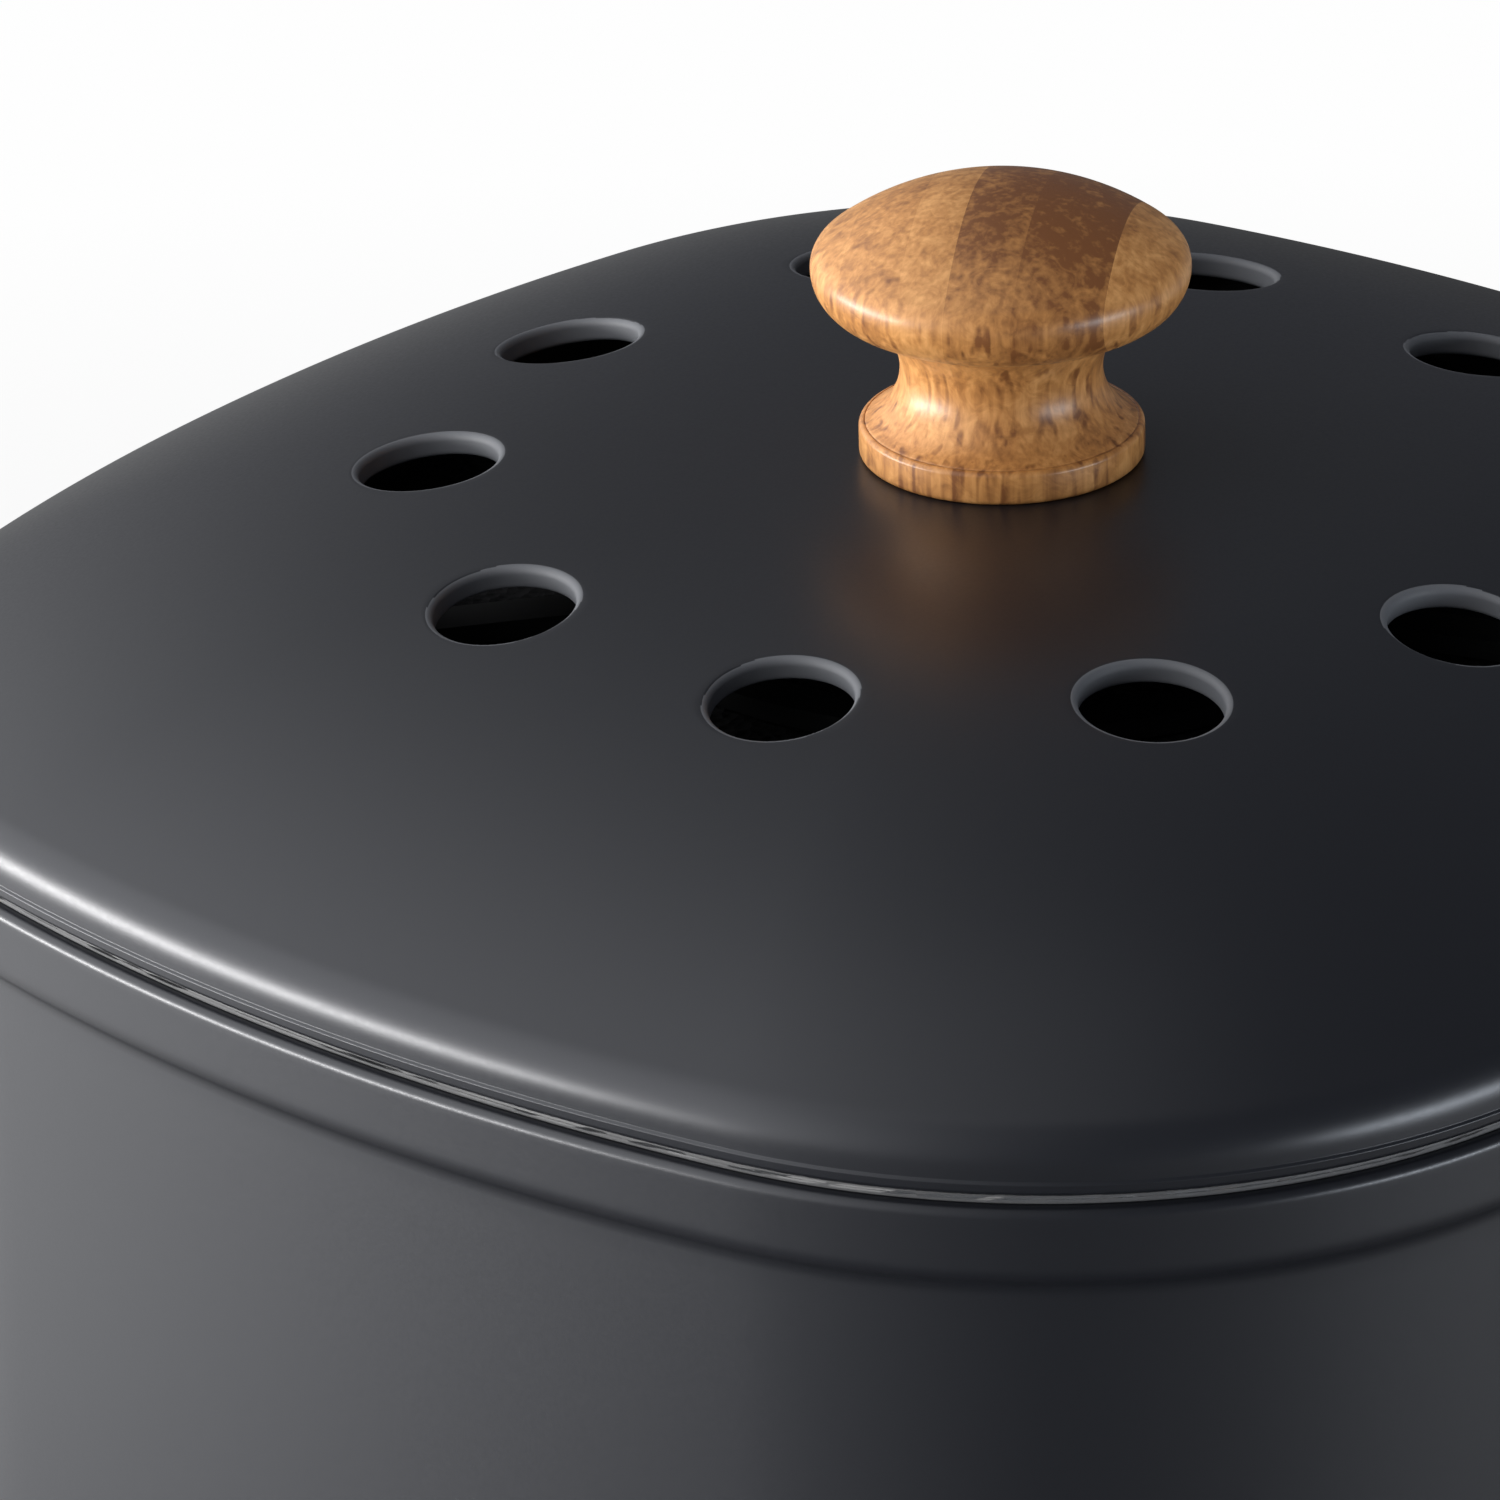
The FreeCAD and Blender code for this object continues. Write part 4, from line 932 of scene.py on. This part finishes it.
def turnedKnob():
    # the neck's hollow and the head's underside are arcs that meet in one direction, and so are
    # the head's rim and its crown
    base, edge, baseTop = knob["baseRadius"], knob["baseEdge"], knob["baseHeight"]
    neck, neckHeight = knob["neckRadius"], knob["neckHeight"]
    head, headHeight, top = knob["headRadius"], knob["headHeight"], knob["crownHeight"]
    rim, bore, depth = knob["rimRadius"], knob["boreRadius"], knob["boreDepth"]
    lip, groove, steps = knob["boreEdge"], knob["grooveTurn"], knob["arcSteps"]
    shelf = base - edge
    drop, reach = neckHeight - baseTop, shelf - neck
    cove = (drop * drop + reach * reach) / (2 * reach)
    coveX = neck + cove
    side, climb = coveX - head, headHeight - neckHeight
    under = (side * side + climb * climb - cove * cove) / (2 * (cove - side))
    underX = head - under
    flare = math.degrees(math.atan2(climb, underX - coveX))
    rise = top - headHeight
    rimX = head - rim
    crown = (rimX * rimX + rise * rise - rim * rim) / (2 * (rise - rim))
    meet = math.degrees(math.atan2(headHeight - (top - crown), rimX))
    coveTurn = math.degrees(math.asin(drop / cove)) - knob["coveGap"]
    profile = np.concatenate([
        [[0.0, depth], [bore - lip, depth]],
        arcRun((bore - lip, depth - lip), lip, 90, 0, steps["bore"]),
        [[bore, lip]],
        arcRun((bore + lip, lip), lip, 180, 270, steps["bore"]),
        [[shelf - edge, 0.0]],
        arcRun((shelf, edge), edge, -90, 0, steps["base"]),
        arcRun((shelf, baseTop - edge), edge, 0, knob["baseTurn"], steps["base"]),
        arcRun((shelf, baseTop), knob["grooveDepth"], -groove, groove - 180, steps["groove"]),
        arcRun((coveX, neckHeight), cove, 180 + coveTurn, 180, steps["neck"]),
        arcRun((coveX, neckHeight), cove, 180, flare, steps["flare"])[1:],
        arcRun((underX, headHeight), under, flare - 180, 0, steps["under"])[1:],
        arcRun((rimX, headHeight), rim, 0, meet, steps["rim"])[1:],
        arcRun((0.0, top - crown), crown, meet, 90, steps["crown"])[1:],
    ])
    grid = turnedGrid(profile, knob["roundSteps"])
    grid[..., 2] += lidHigh[2]
    piece = newPiece("bambooKnob", [grid], finishes["bamboo"])
    settle(piece, "lid", "bamboo", "knob")


turnedKnob()
print("knob made")

# The filter: a foam disc with a hole for the screw's boss, its faces a little uneven.
pad = {
    "edge": 1.1,
    "holeRadius": 12.0,
    "waves": 0.12,
    "waveX": 5.0,
    "waveY": 7.0,
    "waveStart": 1.0,
    "rows": 40,
    "edgeSteps": 8,
    "steps": 220,
}


def carbonPad():
    low, high = nodeBox("carbon_filter")
    inner, outer = pad["holeRadius"], high[0]
    edge, steps = pad["edge"], pad["edgeSteps"]
    across = np.linspace(inner + 2 * edge, outer - 2 * edge, pad["rows"])
    topFace = np.stack([across, np.full_like(across, high[2])], axis=1)
    underFace = np.stack([across[::-1], np.full_like(across, low[2])], axis=1)
    profile = np.concatenate([
        topFace,
        arcRun((outer - edge, high[2] - edge), edge, 90, 0, steps),
        arcRun((outer - edge, low[2] + edge), edge, 0, -90, steps),
        underFace,
        arcRun((inner + edge, low[2] + edge), edge, -90, -180, steps),
        arcRun((inner + edge, high[2] - edge), edge, 180, 90, steps),
    ])
    grid = turnedGrid(profile, pad["steps"])
    # both faces sink by waves * (1 + sin(x / wave along X) * sin(y / wave along Y + start))
    x, y, z = grid[..., 0], grid[..., 1], grid[..., 2]
    figure = np.sin(x / pad["waveX"]) * np.sin(y / pad["waveY"] + pad["waveStart"])
    sink = pad["waves"] * (1 + figure)
    grid[..., 2] = z - np.sign(z - (low[2] + high[2]) / 2) * sink
    piece = newPiece("carbonPad", [np.concatenate([grid, grid[:1]])], finishes["carbon_foam"])
    settle(piece, "lid", "carbon_foam", "carbon_filter")


carbonPad()
print("filter pad made")

# The bucket's handle: a bent wire with a turned grip in its middle, folded towards +X.
handle = {
    "wireRadius": 1.5,
    "pinEnd": 94.8,
    "span": 86.6,
    "reach": 86.1,
    "pinBend": 3.0,
    "cornerBend": 51.6,
    "bendSteps": 18,
    "bendMargin": 0.3,
    "tipRun": 0.01,
    "wireSteps": 20,
    "gripRadius": 4.6,
    "gripSwell": 0.5,
    "gripLength": 62.0,
    "gripEdge": 1.0,
    "gripBore": 1.55,
    "boreEdge": 0.2,
    "gripRibs": 9,
    "ribDepth": 0.18,
    "ribFade": 1.6,
    "gripRows": 181,
    "edgeSteps": 8,
    "gripSteps": 48,
}


def bailWire():
    # a round wire along a level path: a pin, a small bend, an arm, a wide bend and the same back
    end, span, reach = handle["pinEnd"], handle["span"], handle["reach"]
    small, large = handle["pinBend"], handle["cornerBend"]
    plan = roundedPath([
        (0.0, end, 0.0), (0.0, span, small), (reach, span, large),
        (reach, -span, large), (0.0, -span, small), (0.0, -end, 0.0),
    ], steps=handle["bendSteps"], closed=False, margin=handle["bendMargin"])
    tips = np.array([[0.0, end - handle["tipRun"]], [0.0, handle["tipRun"] - end]])
    plan = np.concatenate([plan[:1], tips[:1], plan[1:-1], tips[1:], plan[-1:]])
    level = np.full((len(plan), 1), bucket["earHeight"])
    path = np.concatenate([plan, level], axis=1)
    tube = tubeGrid(path, handle["wireRadius"], handle["wireSteps"])
    piece = newPiece("bailWire", [tube], finishes["steel_wire"])
    settle(piece, "bail", "steel_wire", "bucket_bail")


def bailGrip():
    # radius = end radius + swell * (1 - (y / half length) ** 2), with shallow rings in its middle
    half, edge, steps = handle["gripLength"] / 2, handle["gripEdge"], handle["edgeSteps"]
    bore, radius, lip = handle["gripBore"], handle["gripRadius"], handle["boreEdge"]
    along = np.linspace(-half + 2 * edge, half - 2 * edge, handle["gripRows"])
    swell = handle["gripSwell"] * (1 - (along / half) ** 2)
    ribs = np.cos(along / half * math.pi * handle["gripRibs"]) - 1
    ribs *= np.clip(handle["ribFade"] - 2 * np.abs(along) / half, 0, 1) * handle["ribDepth"] / 2
    profile = np.concatenate([
        [[bore, -half + lip], [bore + lip, -half]],
        arcRun((radius - edge, -half + edge), edge, -90, 0, steps),
        np.stack([radius + swell + ribs, along], axis=1),
        arcRun((radius - edge, half - edge), edge, 0, 90, steps),
        [[bore + lip, half], [bore, half - lip]],
    ])
    turned = turnedGrid(np.concatenate([profile, profile[:1]]), handle["gripSteps"])
    grid = np.stack([turned[..., 0] + handle["reach"], turned[..., 2],
                     turned[..., 1] + bucket["earHeight"]], axis=2)
    piece = newPiece("bailGrip", [grid], finishes["black_plastic"])
    settle(piece, "grip", "black_plastic", "bail_grip")


bailWire()
bailGrip()
print("handle made")

# The feet: four turned pads with a rounded foot edge.
feet = {
    "place": 62.0,
    "radius": 9.0,
    "edge": 0.8,
    "topEdge": 0.15,
    "edgeSteps": 8,
    "roundSteps": 64,
    "corners": {"front_left": (-1, -1), "front_right": (1, -1),
                "back_left": (-1, 1), "back_right": (1, 1)},
}


def footPad(corner, across, along):
    # a turned disc with a rounded lower edge
    low, high = nodeBox("foot_pad_" + corner)
    radius, edge, top = feet["radius"], feet["edge"], high[2]
    rows = roundedPath([
        (0.0, low[2], 0.0), (radius, low[2], edge),
        (radius, top, feet["topEdge"]), (0.0, top, 0.0),
    ], steps=feet["edgeSteps"], closed=False)
    grid = turnedGrid(rows, feet["roundSteps"])
    grid[..., 0] += across * feet["place"]
    grid[..., 1] += along * feet["place"]
    piece = newPiece("footPad_" + corner, [grid], finishes["rubber_foot"])
    settle(evenShading(piece), "can", "rubber_foot", "foot_pad_" + corner)


for corner, (across, along) in feet["corners"].items():
    footPad(corner, across, along)
print("feet made")

# What shows of the lid's underside and the can's bottom.
for node, finishName in (
    ("lid_ring", "powder_coat"),
    ("lid_gasket", "silicone"),
    ("knob_insert", "brass_insert"),
    ("knob_screw", "zinc_steel"),
    ("plain_washer", "zinc_steel"),
    ("spring_washer", "zinc_steel"),
    ("filter_holder", "black_plastic"),
    ("filter_cover", "black_plastic"),
    ("base_plate", "powder_coat"),
):
    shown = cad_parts[node]
    shown.data.materials.clear()
    shown.data.materials.append(finishes[finishName])
print("carried pieces finished")

# Floor, lamps and world, in metres
white = (1.0, 1.0, 1.0, 1.0)
studio = {
    "floorRadius": 12.0,
    "floorSides": 96,
    "floorColour": (0.80, 0.80, 0.80, 1.0),
    "floorRoughness": 0.9,
    "grainScale": 40.0,
    "grainDepth": 0.00002,
    # how much of the floor's paint is replaced by plain white, near the bin and away from it
    "nearShare": 0.60,
    "farShare": 0.975,
    "nearPlace": 0.22,
    "farPlace": 0.62,
    # painted reflection: what a shiny wall sees of the floor is a glow set by the floor's
    # direction, with painted shade beside the bin
    "shadePlace": 0.17,
    "clearPlace": 0.38,
    "shade": 0.14,
    "paintedLightTurn": 125.0,
    "paintedReflectionScale": 1.7,
    "paintedReflectionShares": (
        (0.02, 0.36), (0.19, 0.19), (0.46, 0.045), (0.80, 0.30), (0.94, 0.72), (1.0, 1.0),
    ),
    # the world: an even level and a broad glow from one direction, which starts and is full at
    # these cosines of the angle to it
    "level": (0.108, 0.112, 0.125, 1.0),
    "glowTurn": 130.0,
    "glowTilt": 10.0,
    "glowStart": -0.1,
    "glowFull": 0.8,
    "glowPower": 2.6,
    "glowStrength": 2.3,
}


def toward(finish, place, socket, turn, tilt):
    # cosine of the angle between a place's direction and a fixed direction
    level = math.cos(math.radians(tilt))
    fixed = (level * math.cos(math.radians(turn)), level * math.sin(math.radians(turn)),
             math.sin(math.radians(tilt)))
    direction = addNode(finish, "ShaderNodeVectorMath", operation="NORMALIZE")
    join(finish, place, socket, direction, 0)
    dot = addNode(finish, "ShaderNodeVectorMath", {1: fixed}, operation="DOT_PRODUCT")
    join(finish, direction, "Vector", dot, 0)
    return dot


def studioFloor():
    # a wide disc that the camera sees partly as plain white, and that gloss sees as a glowing
    # painted reflection, brightest in one direction and with painted shade beside the bin
    turn = np.linspace(0, 2 * math.pi, studio["floorSides"], endpoint=False)
    edge = np.stack([np.cos(turn), np.sin(turn), np.zeros_like(turn)], axis=1)
    mesh = bpy.data.meshes.new("studioFloor")
    mesh.from_pydata((edge * studio["floorRadius"]).tolist(), [], [list(range(len(turn)))])
    floor = bpy.data.objects.new("studioFloor", mesh)
    bpy.context.collection.objects.link(floor)
    finish, shader, place = startFinish("floorPaint", {
        "Base Color": studio["floorColour"], "Roughness": studio["floorRoughness"]})
    grain = noiseAt(finish, place, studio["grainScale"], 2.0)
    addBump(finish, shader, [(grain, "Fac", studio["grainDepth"])])
    away = addNode(finish, "ShaderNodeVectorMath", operation="LENGTH")
    join(finish, place, "Object", away, 0)
    share = spread(finish, away, "Value", studio["nearShare"], studio["farShare"],
                   studio["nearPlace"], studio["farPlace"])
    # painted light: the floor's glow, as gloss sees it, is brightest in one direction from the bin
    side = toward(finish, place, "Object", studio["paintedLightTurn"], 0.0)
    sidePlace = spread(finish, side, "Value", 0.0, 1.0, -1.0, 1.0)
    mirror = addNode(finish, "ShaderNodeValToRGB")
    setStops(mirror, studio["paintedReflectionShares"])
    join(finish, sidePlace, "Result", mirror, "Fac")
    rays = addNode(finish, "ShaderNodeLightPath")
    blank = addNode(finish, "ShaderNodeEmission", {"Color": white})
    # painted shade: the glow that gloss sees dims beside the bin
    shade = spread(finish, away, "Value", studio["shade"], 1.0,
                   studio["shadePlace"], studio["clearPlace"])
    strength = mathNode(finish, "MULTIPLY", (shade, "Result"), studio["paintedReflectionScale"])
    # the painted reflection: an emission that only glossy and transmission rays see
    paintedReflectionGlow = addNode(finish, "ShaderNodeEmission")
    join(finish, mirror, "Color", paintedReflectionGlow, "Color")
    join(finish, *strength, paintedReflectionGlow, "Strength")
    seen = mathNode(finish, "MULTIPLY", (rays, "Is Camera Ray"), (share, "Result"))
    bounced = mathNode(finish, "MAXIMUM", (rays, "Is Glossy Ray"), (rays, "Is Transmission Ray"))
    plain = addNode(finish, "ShaderNodeMixShader")
    mirrored = addNode(finish, "ShaderNodeMixShader")
    output = finish.node_tree.nodes["Material Output"]
    join(finish, *seen, plain, 0)
    join(finish, shader, "BSDF", plain, 1)
    join(finish, blank, "Emission", plain, 2)
    join(finish, *bounced, mirrored, 0)
    join(finish, plain, "Shader", mirrored, 1)
    join(finish, paintedReflectionGlow, "Emission", mirrored, 2)
    join(finish, mirrored, "Shader", output, "Surface")
    mesh.materials.append(finish)


def studioWorld():
    # brightness = level + strength * (share of the way round to the glow) ** power, and plain
    # white straight to the camera
    world = bpy.data.worlds.new("studioWorld")
    bpy.context.scene.world = world
    world.use_nodes = True
    background = world.node_tree.nodes["Background"]
    place = addNode(world, "ShaderNodeTexCoord")
    side = toward(world, place, "Generated", studio["glowTurn"], studio["glowTilt"])
    near = spread(world, side, "Value", 0.0, 1.0, studio["glowStart"], studio["glowFull"])
    lobe = mathNode(world, "POWER", (near, "Result"), studio["glowPower"])
    glow = mathNode(world, "MULTIPLY", lobe, studio["glowStrength"])
    total = addNode(world, "ShaderNodeVectorMath", {0: studio["level"][:3]}, operation="ADD")
    join(world, *glow, total, 1)
    join(world, total, "Vector", background, "Color")
    rays = addNode(world, "ShaderNodeLightPath")
    blank = addNode(world, "ShaderNodeBackground", {"Color": white})
    shown = addNode(world, "ShaderNodeMixShader")
    join(world, rays, "Is Camera Ray", shown, 0)
    join(world, background, "Background", shown, 1)
    join(world, blank, "Background", shown, 2)
    join(world, shown, "Shader", world.node_tree.nodes["World Output"], "Surface")


lampAim = (0.0, 0.0, 0.19)
lamps = {
    # direction from the bin, distance, width and height in metres, radiance, colour
    "leftSoftbox": ((-0.713, 0.701, -0.04), 1.6, 1.40, 0.26, 32.0, (1.0, 0.985, 0.96)),
    "rightSoftbox": ((0.20, -0.98, -0.02), 1.6, 1.00, 0.24, 15.0, (0.88, 0.94, 1.0)),
    "topSoftbox": ((-0.10, 0.10, 0.98), 1.8, 1.20, 1.20, 0.30, (1.0, 1.0, 1.0)),
}


def softbox(name, direction, distance, width, height, radiance, colour):
    # power = radiance * pi * area, for a lamp that faces the bin
    data = bpy.data.lights.new(name, "AREA")
    data.shape = "RECTANGLE"
    data.size, data.size_y = width, height
    data.energy = radiance * math.pi * width * height
    data.color = colour
    lamp = bpy.data.objects.new(name, data)
    bpy.context.collection.objects.link(lamp)
    away = Vector(direction).normalized()
    lamp.location = Vector(lampAim) + away * distance
    lamp.rotation_euler = (-away).to_track_quat("-Z", "Y").to_euler()
    lamp.visible_camera = False


view = {
    "place": (-0.86312, -0.71811, 0.69589),
    "direction": (0.686461, 0.597830, -0.413969),
    "roll": -0.0166,
    "focalPixels": 12382.2,
    "framePixels": 1500.0,
    "sensor": 36.0,
    "clip": (0.05, 60.0),
}


def studioCamera():
    data = bpy.data.cameras.new("studioCamera")
    data.sensor_width = view["sensor"]
    data.lens = view["focalPixels"] / view["framePixels"] * view["sensor"]
    data.clip_start, data.clip_end = view["clip"]
    camera = bpy.data.objects.new("studioCamera", data)
    bpy.context.collection.objects.link(camera)
    camera.location = view["place"]
    level = Vector(view["direction"]).to_track_quat("-Z", "Y")
    camera.rotation_mode = "QUATERNION"
    camera.rotation_quaternion = level @ Quaternion((0.0, 0.0, 1.0), view["roll"])
    bpy.context.scene.camera = camera


studioFloor()
studioWorld()
for name, values in lamps.items():
    softbox(name, *values)
studioCamera()
bpy.context.scene.view_settings.view_transform = "Standard"
print("studio made")
